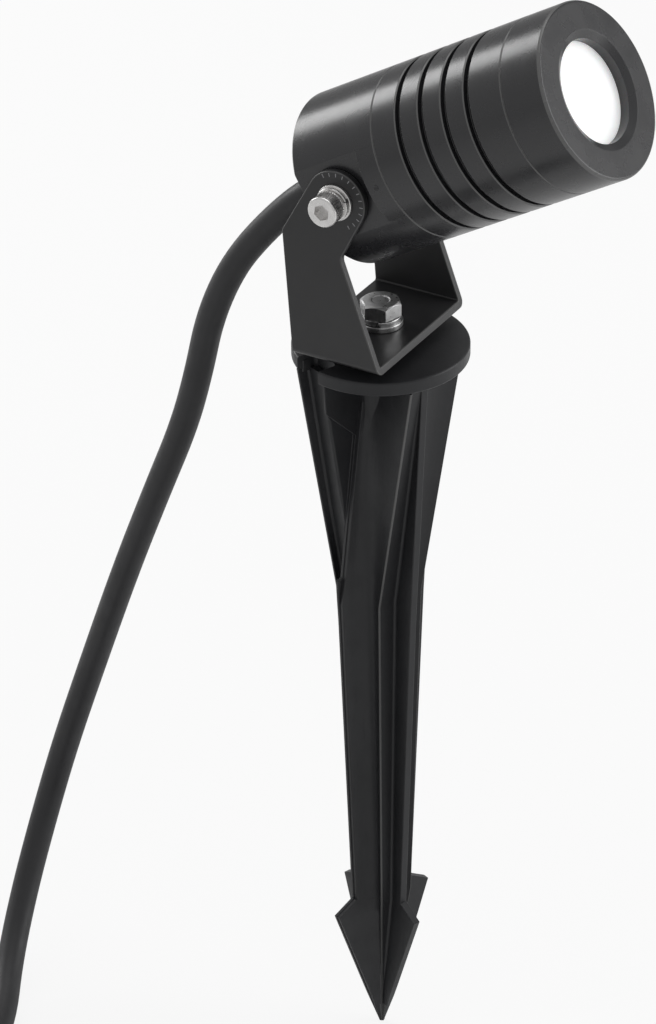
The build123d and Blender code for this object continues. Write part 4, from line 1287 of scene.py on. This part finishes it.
@dataclass
class Head:
    """Turned head: a rear can with two flats, a grooved barrel, a bezel and a lens."""

    tilt: float = 30.2
    pivot: float = 55.5
    radius: float = 23.5
    rear: float = -10.0
    seam: float = 17.3
    bezel_seam: float = 60.0
    front: float = 72.7
    chamfer: float = 0.3
    rear_edge: float = 0.5
    front_edge: float = 0.8
    flat_half: float = 21.1
    flat_end: float = 11.2
    spigot: float = 19.0
    spigot_start: float = 10.5
    cavity: float = 15.0
    gland_hole: float = 6.1
    rear_wall: float = 4.5
    chamber: float = 15.5
    groove_first: float = 26.1
    groove_pitch: float = 7.57
    groove_count: int = 4
    groove_half: float = 0.8
    groove_depth: float = 1.8
    web: Point2 = (44.0, 48.0)
    lens_face: float = 68.7
    lens_back: float = 65.7
    lens_radius: float = 17.1
    bezel_spigot: float = 20.0
    mouth: float = 13.75
    mouth_chamfer: Point2 = (2.05, 1.15)
    bore: float = 2.55
    bore_depth: float = 5.7
    dimple: Point3 = (13.9, 0.8, 0.7)

    @property
    def place(self) -> Matrix:
        """Axes of the head in the frame, with Z forward along its own axis."""
        return shift(0, 0, self.pivot) @ spin(90 - self.tilt, "Y")

    def pivot_bore(self, name: str, radius: float, depth: float) -> bpy.types.Object:
        """Make the tool that bores both pivot holes."""
        across = self.place @ spin(90, "X")
        both = turned(name, disc(radius, self.flat_half - depth, 40), across)
        other = turned("bore", disc(radius, -40, depth - self.flat_half), across)
        return combine(both, other, Cut.JOIN)

    def turned_edges(self, thing: bpy.types.Object) -> bpy.types.Object:
        """Mark the chamfers and roundings at the outside of a turned piece for a painted highlight."""
        inward = self.place.inverted()
        low, high = self.radius - self.chamfer - 0.02, self.radius - 0.015
        station, wide, _ = self.dimple

        def chamfered(face: bpy.types.MeshPolygon) -> bool:
            spot = inward @ (face.center / MM)
            beside = math.hypot(spot.x, spot.z - station) < 2 * wide
            return low < math.hypot(spot.x, spot.y) < high and face.area < 0.5 * MM**2 and not beside

        return mark_highlight_faces(thing, chamfered)

    def can(self) -> bpy.types.Object:
        """Turn the rear can, press in its flats, bore the pivots and drill the index mark."""
        radius, edge = self.radius, self.chamfer
        profile = rounded(
            [
                Corner(self.gland_hole, self.rear, 0.1),
                Corner(radius, self.rear, self.rear_edge),
                Corner(radius, self.seam - edge, 0.12),
                Corner(radius - edge, self.seam, 0.12),
                Corner(self.spigot, self.seam),
                Corner(self.spigot, self.spigot_start),
                Corner(self.cavity, self.spigot_start),
                Corner(self.cavity, self.rear + self.rear_wall),
                Corner(self.gland_hole, self.rear + self.rear_wall),
            ]
        )
        can = turned("rear_can", profile, self.place, 256)
        start, end, low, high = self.rear - 5, self.flat_end, self.flat_half, self.flat_half + 10
        for side in (-1, 1):
            box = ((start, low), (end, low), (end, high), (start, high))
            outline = [(station, side * y) for station, y in box]
            sideways = self.place @ Matrix(((0, 0, -1, 0), (0, 1, 0, 0), (1, 0, 0, 0), (0, 0, 0, 1)))
            combine(can, raised("flat", outline, -40, 40, sideways), Cut.REMOVE)
        combine(can, self.pivot_bore("bores", self.bore, self.bore_depth), Cut.REMOVE)
        soften_edges(can, 0.16, 50)
        station, wide, deep = self.dimple
        cone = [(0, 0), (wide + 0.6, deep + 0.52), (0, deep + 0.52)]
        across = self.place @ shift(0, -self.radius + deep, station)
        combine(can, turned("drill", cone, across @ spin(90, "X"), 32), Cut.REMOVE)
        return smooth(can, 30.0)

    def barrel(self) -> bpy.types.Object:
        """Turn the barrel with its end bands; the bands between grooves are added to it."""
        radius, edge, half = self.radius, self.chamfer, self.groove_half
        deep = radius - self.groove_depth
        fillet = 0.25
        profile = [
            Corner(0, self.web[0]),
            Corner(self.cavity, self.web[0], 0.4),
            Corner(self.cavity, self.spigot_start + 0.1),
            Corner(self.spigot - 0.1, self.spigot_start + 0.1, 0.3),
            Corner(self.spigot - 0.1, 13.15),
            Corner(self.spigot - 1.5, 13.15),
            Corner(self.spigot - 1.5, 14.65),
            Corner(self.spigot - 0.1, 14.65),
            Corner(self.spigot - 0.1, self.seam),
            Corner(radius - edge, self.seam, 0.12),
            Corner(radius, self.seam + edge, 0.12),
        ]
        for index in range(self.groove_count):
            middle = self.groove_first + index * self.groove_pitch
            profile += [
                Corner(radius, middle - half - edge, 0.14),
                Corner(radius - edge, middle - half, 0.14),
                Corner(deep, middle - half, fillet),
                Corner(deep, middle + half, fillet),
                Corner(radius - edge, middle + half, 0.14),
                Corner(radius, middle + half + edge, 0.14),
            ]
        front = self.lens_face - 0.2
        inner = self.bezel_spigot - 0.1
        profile += [
            Corner(radius, self.bezel_seam - edge, 0.12),
            Corner(radius - edge, self.bezel_seam, 0.12),
            Corner(inner, self.bezel_seam),
            Corner(inner, self.bezel_seam + 1.45),
            Corner(inner - 1.4, self.bezel_seam + 1.45),
            Corner(inner - 1.4, self.bezel_seam + 2.95),
            Corner(inner, self.bezel_seam + 2.95),
            Corner(inner, front, 0.3),
            Corner(self.lens_radius + 0.1, front, 0.2),
            Corner(self.lens_radius + 0.1, 64.3),
            Corner(self.chamber, 64.3, 0.2),
            Corner(self.chamber, self.web[1], 1.0),
            Corner(0, self.web[1]),
        ]
        barrel = turned("grooved_barrel", rounded(profile), self.place, 256)
        return smooth(barrel, 30.0)

    def bezel(self) -> bpy.types.Object:
        """Turn the ring that holds the lens."""
        radius, edge = self.radius, self.chamfer
        wide, deep = self.mouth_chamfer
        profile = rounded(
            [
                Corner(self.bezel_spigot, self.bezel_seam),
                Corner(radius - edge, self.bezel_seam, 0.12),
                Corner(radius, self.bezel_seam + edge, 0.12),
                Corner(radius, self.front, self.front_edge),
                Corner(self.mouth + wide, self.front, 0.15),
                Corner(self.mouth, self.front - deep, 0.15),
                Corner(self.mouth, self.lens_face + 0.05, 0.15),
                Corner(self.bezel_spigot, self.lens_face + 0.05),
            ],
            6,
        )
        return smooth(turned("lens_bezel", profile, self.place, 256), 30.0)

    def lens(self) -> bpy.types.Object:
        """Turn the lens with ground edges."""
        profile = rounded(
            [
                Corner(0, self.lens_back),
                Corner(self.lens_radius, self.lens_back, 0.3),
                Corner(self.lens_radius, self.lens_face, 0.3),
                Corner(0, self.lens_face),
            ]
        )
        return smooth(turned("opal_window", profile, self.place, 160), 30.0)

    def build(self, finisher: Finisher) -> None:
        """Make the head's outer pieces, finish the ones inside and put them on the head's body."""
        metal = finisher.material(Surface.ANODISED, self.place, "head")
        for piece, node in (
            (self.can(), "rear_housing"), (self.barrel(), "finned_barrel"), (self.bezel(), "front_bezel"),
        ):
            self.turned_edges(piece)
            finisher.dress(node, piece, Body.HEAD, metal)
        opal = finisher.material(Surface.LENS, self.place, "head")
        finisher.dress("front_lens", self.lens(), Body.HEAD, opal)
        for node, surface in (
            ("lens_gasket", Surface.SILICONE),
            ("barrel_seal", Surface.SEAL),
            ("bezel_seal", Surface.SEAL),
            ("led_board", Surface.LED_BOARD),
            ("led_emitter", Surface.PHOSPHOR),
            ("reflector", Surface.MIRROR),
            ("driver_board", Surface.BOARD),
            ("driver_components", Surface.COMPONENTS),
        ):
            finisher.keep(node, finisher.material(surface))


@dataclass
class PivotScrew:
    """Knurled socket cap screw with a split washer and a plain one."""

    head_radius: float = 4.25
    head_height: float = 5.0
    thread: float = 2.5
    length: float = 10.0
    socket_flats: float = 4.0
    socket_depth: float = 2.6
    washer_seat: float = 23.35
    washer: Point2 = (5.0, 1.0)
    spring: Point2 = (4.6, 1.3)
    pivot: float = 55.5
    knurls: int = 36

    def cap(self, name: str, metal: bpy.types.Material) -> bpy.types.Object:
        """Make the screw along +Z with its head's underside at zero, in millimetres."""
        top, radius, shank = self.head_height, self.head_radius, self.thread
        profile = rounded(
            [
                Corner(0, -self.length),
                Corner(shank - 0.5, -self.length),
                Corner(shank, 0.7 - self.length),
                Corner(shank, 0, 0.15),
                Corner(radius - 0.12, 0, 0.15),
                Corner(radius - 0.12, 0.6, 0.2),
                Corner(radius - 0.22, 0.75, 0.1),
                Corner(radius - 0.22, top - 1.15, 0.1),
                Corner(radius - 0.05, top - 1.0, 0.1),
                Corner(radius - 0.05, top, 0.55),
                Corner(0, top),
            ]
        )
        screw = turned(name, profile, FULL_SIZE, 96)
        corner = self.socket_flats / math.sqrt(3)
        socket = raised("socket", hexagon(self.socket_flats), top - self.socket_depth, top + 1, FULL_SIZE)
        combine(screw, socket, Cut.REMOVE)
        lead_in = [(0, top - 1.1), (corner + 0.5, top + 0.5), (0, top + 0.5)]
        combine(screw, turned("lead_in", lead_in, FULL_SIZE), Cut.REMOVE)
        step = math.radians(360 / self.knurls)
        wide = math.radians(3.4)
        inner, outer = radius - 0.4, radius - 0.02
        ridge = [
            (inner * math.cos(-wide), inner * math.sin(-wide)),
            (outer, -0.09),
            (outer, 0.09),
            (inner * math.cos(wide), inner * math.sin(wide)),
        ]
        knurl = raised("knurl", ridge, 0.65, top - 1.05, FULL_SIZE)
        ring_tree().apply(knurl, Count=self.knurls, Step=step, Start=0.0, Material=metal)
        combine(screw, knurl, Cut.JOIN)
        return smooth(screw, 35.0)

    def build(self, finisher: Finisher) -> None:
        """Make both screws with their washers and put them on the head's body."""
        washer_height, spring_height = self.washer[1], self.spring[1]
        for side, turn, roll in (("near", 90, 0.4), ("far", -90, 2.1)):
            place = shift(0, 0, self.pivot) @ spin(turn, "X")
            metal = finisher.material(Surface.STAINLESS, place, f"{side}_pivot")
            seat = self.washer_seat
            rolled = Matrix.Rotation(roll, 4, "Z")
            pieces = (
                (flat_washer(f"{side}_plain_washer", self.washer[0], 2.7, washer_height), seat, "washer"),
                (
                    spring_washer(f"{side}_lock_washer", self.spring[0], 2.6, spring_height),
                    seat + washer_height,
                    "spring",
                ),
                (self.cap(f"{side}_cap_screw", metal), seat + washer_height + spring_height, "screw"),
            )
            for piece, height, kind in pieces:
                seat_in_place(piece, place @ shift(0, 0, height) @ rolled)
                node = f"{side}_pivot_{kind}"
                finisher.dress(node, piece, Body.HEAD, metal)


@dataclass
class Gland:
    """Cable gland in the rear wall: a six-sided body, a clamping nut and its bush."""

    head: Head
    thread: float = 12.0
    thread_length: float = 5.5
    flats: float = 15.0
    collar: float = 2.6
    bore: float = 4.3
    nose: float = 11.0
    nose_station: float = -17.5

    def body(self) -> bpy.types.Object:
        """Make the threaded body and its collar."""
        rear = self.head.rear
        place = self.head.place
        body = raised("gland_body_moulding", hexagon(self.flats), rear - self.collar, rear - 0.05, place)
        thread = disc(self.thread / 2, rear - self.collar, rear + self.thread_length)
        combine(body, turned("thread", thread, place, 64), Cut.JOIN)
        bore = disc(self.bore, rear - 10, rear + 10)
        combine(body, turned("bore", bore, place, 64), Cut.REMOVE)
        return smooth(soften_edges(body, 0.25, 40), 30.0)

    def nut(self) -> bpy.types.Object:
        """Make the clamping nut, six-sided at its seat and round at its nose."""
        seat = self.head.rear - self.collar
        place = self.head.place
        nut = raised("gland_clamp_nut", hexagon(self.flats), self.nose_station, seat - 0.05, place)
        middle = (seat + self.nose_station) / 2
        dome = rounded(
            [
                Corner(0, self.nose_station),
                Corner(self.nose / 2, self.nose_station, 0.8),
                Corner(self.flats / 2, middle, 0.8),
                Corner(self.flats / 2 + 1.2, middle + 0.6, 0.3),
                Corner(self.flats / 2 + 1.2, seat + 1),
                Corner(0, seat + 1),
            ]
        )
        combine(nut, turned("dome", dome, place, 96), Cut.KEEP)
        for name, hole in (
            ("bore", disc(self.bore, self.nose_station - 2, seat + 2)),
            ("room", disc(self.thread / 2, seat - 3.1, seat + 1)),
        ):
            combine(nut, turned(name, hole, place, 64), Cut.REMOVE)
        return smooth(soften_edges(nut, 0.25, 40), 30.0)

    def build(self, finisher: Finisher) -> None:
        """Make the gland and put it on the head's body."""
        plastic = finisher.material(Surface.GLAND)
        finisher.dress("gland_body", self.body(), Body.HEAD, plastic)
        finisher.dress("gland_nut", self.nut(), Body.HEAD, plastic)
        finisher.keep("gland_seal", finisher.material(Surface.SEAL))
        finisher.keep("cable_tail", finisher.material(Surface.RUBBER))


# ------------------------------------------------------------------------ lead


@dataclass
class Lead:
    """Rubber lead from the gland to the plug, with its spare length in a tied coil."""

    head: Head
    diameter: float = 8.0
    route: tuple[Point3, ...] = (
        (-35.1, 0.0, 29.3), (-45.9, 0.0, 14.8), (-53.7, 0.0, -3.0), (-57.8, 0.0, -21.5),
        (-63.1, 0.0, -40.0), (-72.9, 0.0, -64.0), (-84.6, 0.0, -94.0), (-97.0, -0.8, -129.8),
        (-104.9, -4.6, -157.0), (-108.8, -11.8, -180.0), (-108.2, -25.0, -199.2),
        (-102.8, -42.2, -212.6), (-93.2, -60.6, -218.7), (-87.0, -80.0, -218.7),
        (-87.0, -108.0, -218.7),
    )
    coil_centre: Point2 = (-36.4, -116.0)
    coil_radius: float = 50.6
    coil_pitch: float = 8.5
    coil_base: float = -218.7
    coil_turns: float = 4.25
    per_turn: int = 16
    length: float = 1.466
    plug: Point3 = (-28.4, -164.475, -205.15)
    exit_station: float = -17.5
    bend_start: float = -19.0
    bend_end: Point3 = (-43.0, 0.0, 19.0)

    def head_point(self, station: float) -> Point3:
        """Give the point of the head's axis at a station."""
        return tuple(self.head.place @ Vector((0, 0, station)))

    def coil_point(self, turns: float) -> Point3:
        """Give a point of the coil's middle line after some turns."""
        spare = self.coil_radius - 2 * self.coil_pitch
        height = 0.0
        if turns <= 2:
            radius = self.coil_radius - self.coil_pitch * turns
        elif turns <= 2.5:
            climb = turns - 2
            radius = spare - self.coil_pitch * min(climb, 0.5 - climb)
            height = 2 * self.coil_pitch * climb
        else:
            radius = spare + self.coil_pitch * (turns - 2.5)
            height = self.coil_pitch
        radius /= math.cos(math.pi / self.per_turn)
        angle = math.pi + 2 * math.pi * turns
        return (
            self.coil_centre[0] + radius * math.cos(angle),
            self.coil_centre[1] + radius * math.sin(angle),
            self.coil_base + height,
        )

    def points(self) -> list[Point3]:
        """Give all control points, from inside the gland to inside the plug."""
        start = [self.head_point(-13.5), self.head_point(-17.5), self.head_point(-26.5)]
        steps = int(self.coil_turns * self.per_turn)
        coil = [self.coil_point(step / self.per_turn) for step in range(1, steps)]
        x, y, z = self.plug
        end = [(x - 8.0, y, z - 0.5), (x, y, z), (x + 6.0, y, z)]
        return [*start, *self.route, *coil, *end]

    def curve(self, bevel: float) -> bpy.types.Object:
        """Make the lead's route as one smooth curve.

        Args:
            bevel: Radius of the tube in metres, or zero for the middle line alone.

        Returns:
            The curve.
        """
        data = bpy.data.curves.new("lead_route", "CURVE")
        data.dimensions = "3D"
        data.bevel_depth = bevel
        data.bevel_resolution = 6
        data.use_fill_caps = bevel > 0
        spline = data.splines.new("NURBS")
        points = self.points()
        spline.points.add(len(points) - 1)
        for point, place in zip(spline.points, points):
            point.co = (*(part * MM for part in place), 1.0)
        spline.order_u = 3
        spline.use_endpoint_u = True
        spline.resolution_u = 6
        return add_object("lead_route", data)

    def tube(self) -> tuple[bpy.types.Object, list[Point3]]:
        """Make the lead's tube as a mesh.

        Returns:
            The tube and the points of its middle line, in metres.
        """
        route, line = self.curve(self.diameter / 2 * MM), self.curve(0.0)
        graph = bpy.context.evaluated_depsgraph_get()
        skin = bpy.data.meshes.new_from_object(route.evaluated_get(graph), depsgraph=graph)
        middle = bpy.data.meshes.new_from_object(line.evaluated_get(graph), depsgraph=graph)
        path = [tuple(vertex.co) for vertex in middle.vertices]
        for spent in (route, line):
            bpy.data.objects.remove(spent)
        bpy.data.meshes.remove(middle)
        skin.name = "rubber_lead"
        return smooth(add_object("rubber_lead", skin), 40.0, weigh=False), path

    def tie(self) -> bpy.types.Object:
        """Make the tie that holds the coil, with its head."""
        outer_turn = self.coil_radius - self.coil_pitch * 0.75
        middle = outer_turn - self.coil_pitch / 2
        half = (self.coil_pitch + self.diameter + 0.24) / 2
        place = Matrix.Translation(
            (self.coil_centre[0], self.coil_centre[1] + middle, self.coil_base + self.coil_pitch / 2)
        ) @ AXES_FORWARD
        rings = []
        for across in (half, half + 0.8):
            corners = ((-1, -1), (1, -1), (1, 1), (-1, 1))
            rings.append([Corner(x * across, y * across, 3.0) for x, y in corners])
        outer = raised("coil_tie_strap", rounded(rings[1], 8), -2.5, 2.5, place)
        inner = raised("inside", rounded(rings[0], 8), -4, 4, place)
        band = combine(outer, inner, Cut.REMOVE)
        long, across, high = 6.0, 6.5, 4.0
        box = [(-half, -long / 2), (-half, long / 2), (-half - high, long / 2), (-half - high, -long / 2)]
        lock = raised("lock", box, -across / 2, across / 2, place)
        combine(band, lock, Cut.JOIN)
        return smooth(soften_edges(band, 0.25, 40), 30.0)

    def build(self, finisher: Finisher) -> None:
        """Make the lead, its tie and the plug, and put the tie and the plug on the bracket's body."""
        lead, path = self.tube()
        finisher.coat(lead, finisher.material(Surface.RUBBER))
        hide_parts("supply_cable", "cable_coil")
        tie = finisher.dress("coil_tie", self.tie(), Body.BRACKET, finisher.material(Surface.TIE))
        plug = Plug(self.plug).build(finisher)
        start = tuple(part * MM for part in self.head_point(self.exit_station))
        start = tuple(part * MM for part in self.head_point(self.bend_start))
        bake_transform(lead)


@dataclass
class Plug:
    """Earthed mains plug with two round pins, sprung earth strips and a ribbed strain relief."""

    origin: Point3
    radius: float = 18.5
    neck: float = 22.0
    shoulder: float = 42.0
    face: float = 62.0
    neck_radius: float = 8.5
    nose: float = 5.2
    relief: float = 6.8
    ribs: int = 4
    pin_radius: float = 2.4
    pin_length: float = 19.0
    pin_spacing: float = 19.0
    shank: float = 2.1
    seat: float = 6.0
    recess_depth: float = 2.8
    recess_half: float = 3.1
    recess_length: float = 14.0
    strip_half: float = 2.9
    strip_thickness: float = 1.0
    strip_bow: float = 0.35
    strip_steps: int = 12

    @property
    def place(self) -> Matrix:
        """Axes of the plug in the frame, with Z towards its pins."""
        return Matrix.Translation(self.origin) @ AXES_FORWARD

    def pin_place(self, side: int) -> Matrix:
        """Axes of the pin on one side, -1 or 1."""
        return self.place @ shift(side * self.pin_spacing / 2, 0, 0)

    def body(self, plastic: bpy.types.Material) -> bpy.types.Object:
        """Turn the body, cut its recesses and add the relief's ribs."""
        slope = (self.relief - self.nose) / self.neck
        profile = rounded(
            [
                Corner(0, 0),
                Corner(self.nose - 0.9, 0, 0.4),
                Corner(self.relief - 0.9, self.neck, 0.8),
                Corner(self.neck_radius, self.neck, 0.8),
                Corner(self.neck_radius + 3.5, self.neck + 6, 5.0),
                Corner(self.radius - 4.0, self.shoulder - 4, 4.0),
                Corner(self.radius, self.shoulder + 1, 2.5),
                Corner(self.radius, self.face, 1.2),
                Corner(0, self.face),
            ],
            6,
        )
        body = turned("plug_moulding", profile, self.place, 128)
        step = self.neck / (self.ribs + 0.5)
        inner, outer, long = self.nose - 1.6, self.nose + 0.1, step - 2.0
        ring = [Corner(inner, 0), Corner(outer, 0, 0.5), Corner(outer, long, 0.5), Corner(inner, long)]
        rib = turned("ribs", rounded(ring), FULL_SIZE, 96)
        row_tree().apply(rib, Count=self.ribs, Pitch=step, Material=plastic)
        for vertex in rib.data.vertices:
            growth = 1 + slope * (vertex.co.z + step / 2) / self.nose
            vertex.co.x *= growth
            vertex.co.y *= growth
            vertex.co.z += 2.0
        seat_in_place(rib, self.place)
        combine(body, rib, Cut.JOIN)
        for side in (-1, 1):
            half, floor = self.recess_half, self.radius - self.recess_depth
            recess = [
                Corner(-half, floor, 0.3),
                Corner(half, floor, 0.3),
                Corner(half, self.radius + 1),
                Corner(-half, self.radius + 1),
            ]
            outline = [(x, side * y) for x, y in rounded(recess)]
            cut = raised("recess", outline, self.face - self.recess_length, self.face + 1, self.place)
            combine(body, cut, Cut.REMOVE)
            hole = disc(self.shank + 0.05, self.face - self.seat, self.face + 1)
            combine(body, turned("hole", hole, self.pin_place(side), 32), Cut.REMOVE)
        return smooth(soften_edges(body, 0.15, 50), 32.0)

    def pins(self) -> bpy.types.Object:
        """Turn both pins."""
        tip = self.face + self.pin_length
        profile = rounded(
            [
                Corner(0, self.face - self.seat + 0.05),
                Corner(self.shank, self.face - self.seat + 0.05),
                Corner(self.shank, self.face + 0.3, 0.08),
                Corner(self.pin_radius, self.face + 0.3, 0.1),
                Corner(self.pin_radius, tip, 1.4),
                Corner(0, tip),
            ],
            6,
        )
        pieces = []
        for side in (-1, 1):
            pieces.append(turned("plug_contact_pins", profile, self.pin_place(side)))
        return smooth(combine(pieces[0], pieces[1], Cut.JOIN), 35.0)

    def clips(self) -> bpy.types.Object:
        """Make both sprung earth strips, bowed a little outwards."""
        pieces = []
        half, long = self.strip_half, self.recess_length - 0.2
        for side in (-1, 1):
            rings = []
            for step in range(self.strip_steps + 1):
                height = self.face - 13.9 + long * step / self.strip_steps
                low = self.radius - self.recess_depth
                low += self.strip_bow * math.sin(math.pi * step / self.strip_steps)
                high = low + self.strip_thickness
                corners = [
                    Corner(-half, low, 0.15),
                    Corner(half, low, 0.15),
                    Corner(half, high, 0.25),
                    Corner(-half, high, 0.25),
                ]
                rings.append([(x, side * y, height) for x, y in rounded(corners)])
            pieces.append(Shell().loft(rings).placed("plug_earth_strips", self.place))
        return smooth(combine(pieces[0], pieces[1], Cut.JOIN), 30.0)

    def build(self, finisher: Finisher) -> list[bpy.types.Object]:
        """Make the plug's pieces and put them on the bracket's body.

        Args:
            finisher: Source of the materials.

        Returns:
            The plug's pieces, which lie where the lead ends.
        """
        plastic = finisher.material(Surface.RUBBER)
        nickel = finisher.material(Surface.NICKEL)
        pieces = (
            ("plug_body", self.body(plastic), plastic),
            ("plug_pins", self.pins(), nickel),
            ("plug_earth_clips", self.clips(), nickel),
        )
        return [finisher.dress(node, piece, Body.BRACKET, coat) for node, piece, coat in pieces]


# ---------------------------------------------------------------------- studio


@dataclass
class Lamp:
    """Soft area light that looks at the head."""

    name: str
    azimuth: float
    height: float
    distance: float
    size: Point2
    power: float

    def place(self, target: Vector) -> bpy.types.Object:
        """Put the light round a target, in metres, and return it."""
        data = bpy.data.lights.new(self.name, "AREA")
        data.shape = "RECTANGLE"
        data.size, data.size_y = self.size
        data.energy = self.power
        lamp = add_object(self.name, data)
        turn, rise = math.radians(self.azimuth), math.radians(self.height)
        way = Vector((math.cos(turn) * math.cos(rise), math.sin(turn) * math.cos(rise), math.sin(rise)))
        lamp.location = target + way * self.distance
        lamp.rotation_euler = way.to_track_quat("Z", "Y").to_euler()
        return lamp


@dataclass
class Studio:
    """White studio: a bright sky and backdrop, a pale floor, soft lights and the camera."""

    azimuth: float = 30.45
    elevation: float = 30.91
    roll: float = -0.52
    position: Point3 = (496.2, -872.7, 551.6)
    lens: float = 150.34
    floor: float = -223.65
    sky_top: float = 0.5
    sky_back: float = 0.35
    sky_front: float = 0.5
    sky_turn: Point2 = (-0.5, 0.5)
    sky_rise: Point2 = (0.45, 0.85)
    floor_glow: float = 0.85

    def camera(self) -> bpy.types.Object:
        """Set up the camera that matches the photo."""
        data = bpy.data.cameras.new("camera")
        data.lens = self.lens
        data.sensor_width = 36.0
        data.sensor_fit = "AUTO"
        data.clip_end = 20.0
        camera = add_object("camera", data)
        turn, rise, roll = (math.radians(a) for a in (self.azimuth, self.elevation, self.roll))
        back = Vector((math.sin(turn) * math.cos(rise), -math.cos(turn) * math.cos(rise), math.sin(rise)))
        side = Vector((math.cos(turn), math.sin(turn), 0))
        upward = back.cross(side)
        right = side * math.cos(roll) + upward * math.sin(roll)
        top = upward * math.cos(roll) - side * math.sin(roll)
        turned = Matrix((right, top, back)).transposed().to_4x4()
        camera.matrix_world = Matrix.Translation(Vector(self.position) * MM) @ turned
        bpy.context.scene.camera = camera
        return camera

    def world(self) -> bpy.types.World:
        """Make the sky: white to the camera, shaded by direction to the object."""
        world = bpy.data.worlds.new("studio")
        world.use_nodes = True
        sky = NodeTree(world.node_tree)
        sky.tree.nodes.clear()
        parts = sky.add("ShaderNodeSeparateXYZ")
        sky.link(sky.add("ShaderNodeTexCoord").outputs["Generated"], parts.inputs[0])
        mix = sky.add("ShaderNodeMix", data_type="FLOAT")
        mix.inputs[3].default_value = self.sky_top
        sky.link(sky.span(parts.outputs["Z"], self.sky_rise, (0.0, 1.0), ease=True), mix.inputs[0])
        sides = (self.sky_front, self.sky_back)
        sky.link(sky.span(parts.outputs["Y"], self.sky_turn, sides, ease=True), mix.inputs[2])
        shade, plain = (sky.add("ShaderNodeBackground") for _ in range(2))
        sky.link(mix.outputs[0], shade.inputs["Strength"])
        for light in (shade, plain):
            light.inputs["Color"].default_value = (1, 1, 1, 1)
        both = sky.add("ShaderNodeMixShader")
        sky.link(sky.add("ShaderNodeLightPath").outputs["Is Camera Ray"], both.inputs[0])
        sky.link(shade.outputs[0], both.inputs[1])
        sky.link(plain.outputs[0], both.inputs[2])
        sky.link(both.outputs[0], sky.add("ShaderNodeOutputWorld").inputs["Surface"])
        bpy.context.scene.world = world
        return world

    def ground(self) -> bpy.types.Object:
        """Make the floor: nearly white to the camera, with the object's shadow kept."""
        half = 6.0
        data = bpy.data.meshes.new("floor")
        height = self.floor * MM
        corners = [(-half, -half, height), (half, -half, height), (half, half, height), (-half, half, height)]
        data.from_pydata(corners, [], [(0, 1, 2, 3)])
        floor = add_object("floor", data)
        wiring = Wiring("studio_floor")
        wiring.shader.inputs["Base Color"].default_value = (0.85, 0.85, 0.85, 1)
        wiring.shader.inputs["Roughness"].default_value = 0.9
        wiring.shader.inputs["Specular IOR Level"].default_value = 0.1
        glow = wiring.add("ShaderNodeEmission")
        rays = wiring.add("ShaderNodeLightPath")
        share = wiring.math("MULTIPLY", rays.outputs["Is Camera Ray"], self.floor_glow)
        both = wiring.add("ShaderNodeMixShader")
        output = next(n for n in wiring.tree.nodes if n.type == "OUTPUT_MATERIAL")
        wiring.link(share, both.inputs[0])
        wiring.link(wiring.shader.outputs["BSDF"], both.inputs[1])
        wiring.link(glow.outputs[0], both.inputs[2])
        wiring.link(both.outputs[0], output.inputs["Surface"])
        data.materials.append(wiring.material)
        return floor

    def build(self) -> None:
        """Set up everything round the object."""
        self.camera()
        self.world()
        stage = [self.ground()]
        target = Vector((0.02, 0, 0.06))
        for lamp in (
            Lamp("overhead", 100.0, 72.0, 1.6, (1.4, 1.0), 6.0),
            Lamp("right_wall", 32.0, 12.0, 1.8, (1.0, 1.6), 14.5),
            Lamp("left_wall", 168.0, 15.0, 1.8, (0.6, 0.9), 9.5),
        ):
            lamp.place(target)
        scene = bpy.context.scene
        scene.view_settings.view_transform = "Standard"


def main() -> None:
    """Dress the whole spotlight."""
    logging.basicConfig(level=logging.INFO, format="%(name)s: %(message)s")
    finisher = Finisher()
    head = Head()
    Studio().build()
    Lead(head).build(finisher)
    GroundSpike().build(finisher)
    SwivelBolt().build(finisher)
    Yoke().build(finisher)
    head.build(finisher)
    PivotScrew().build(finisher)
    Gland(head).build(finisher)


if __name__ == "__main__":
    main()
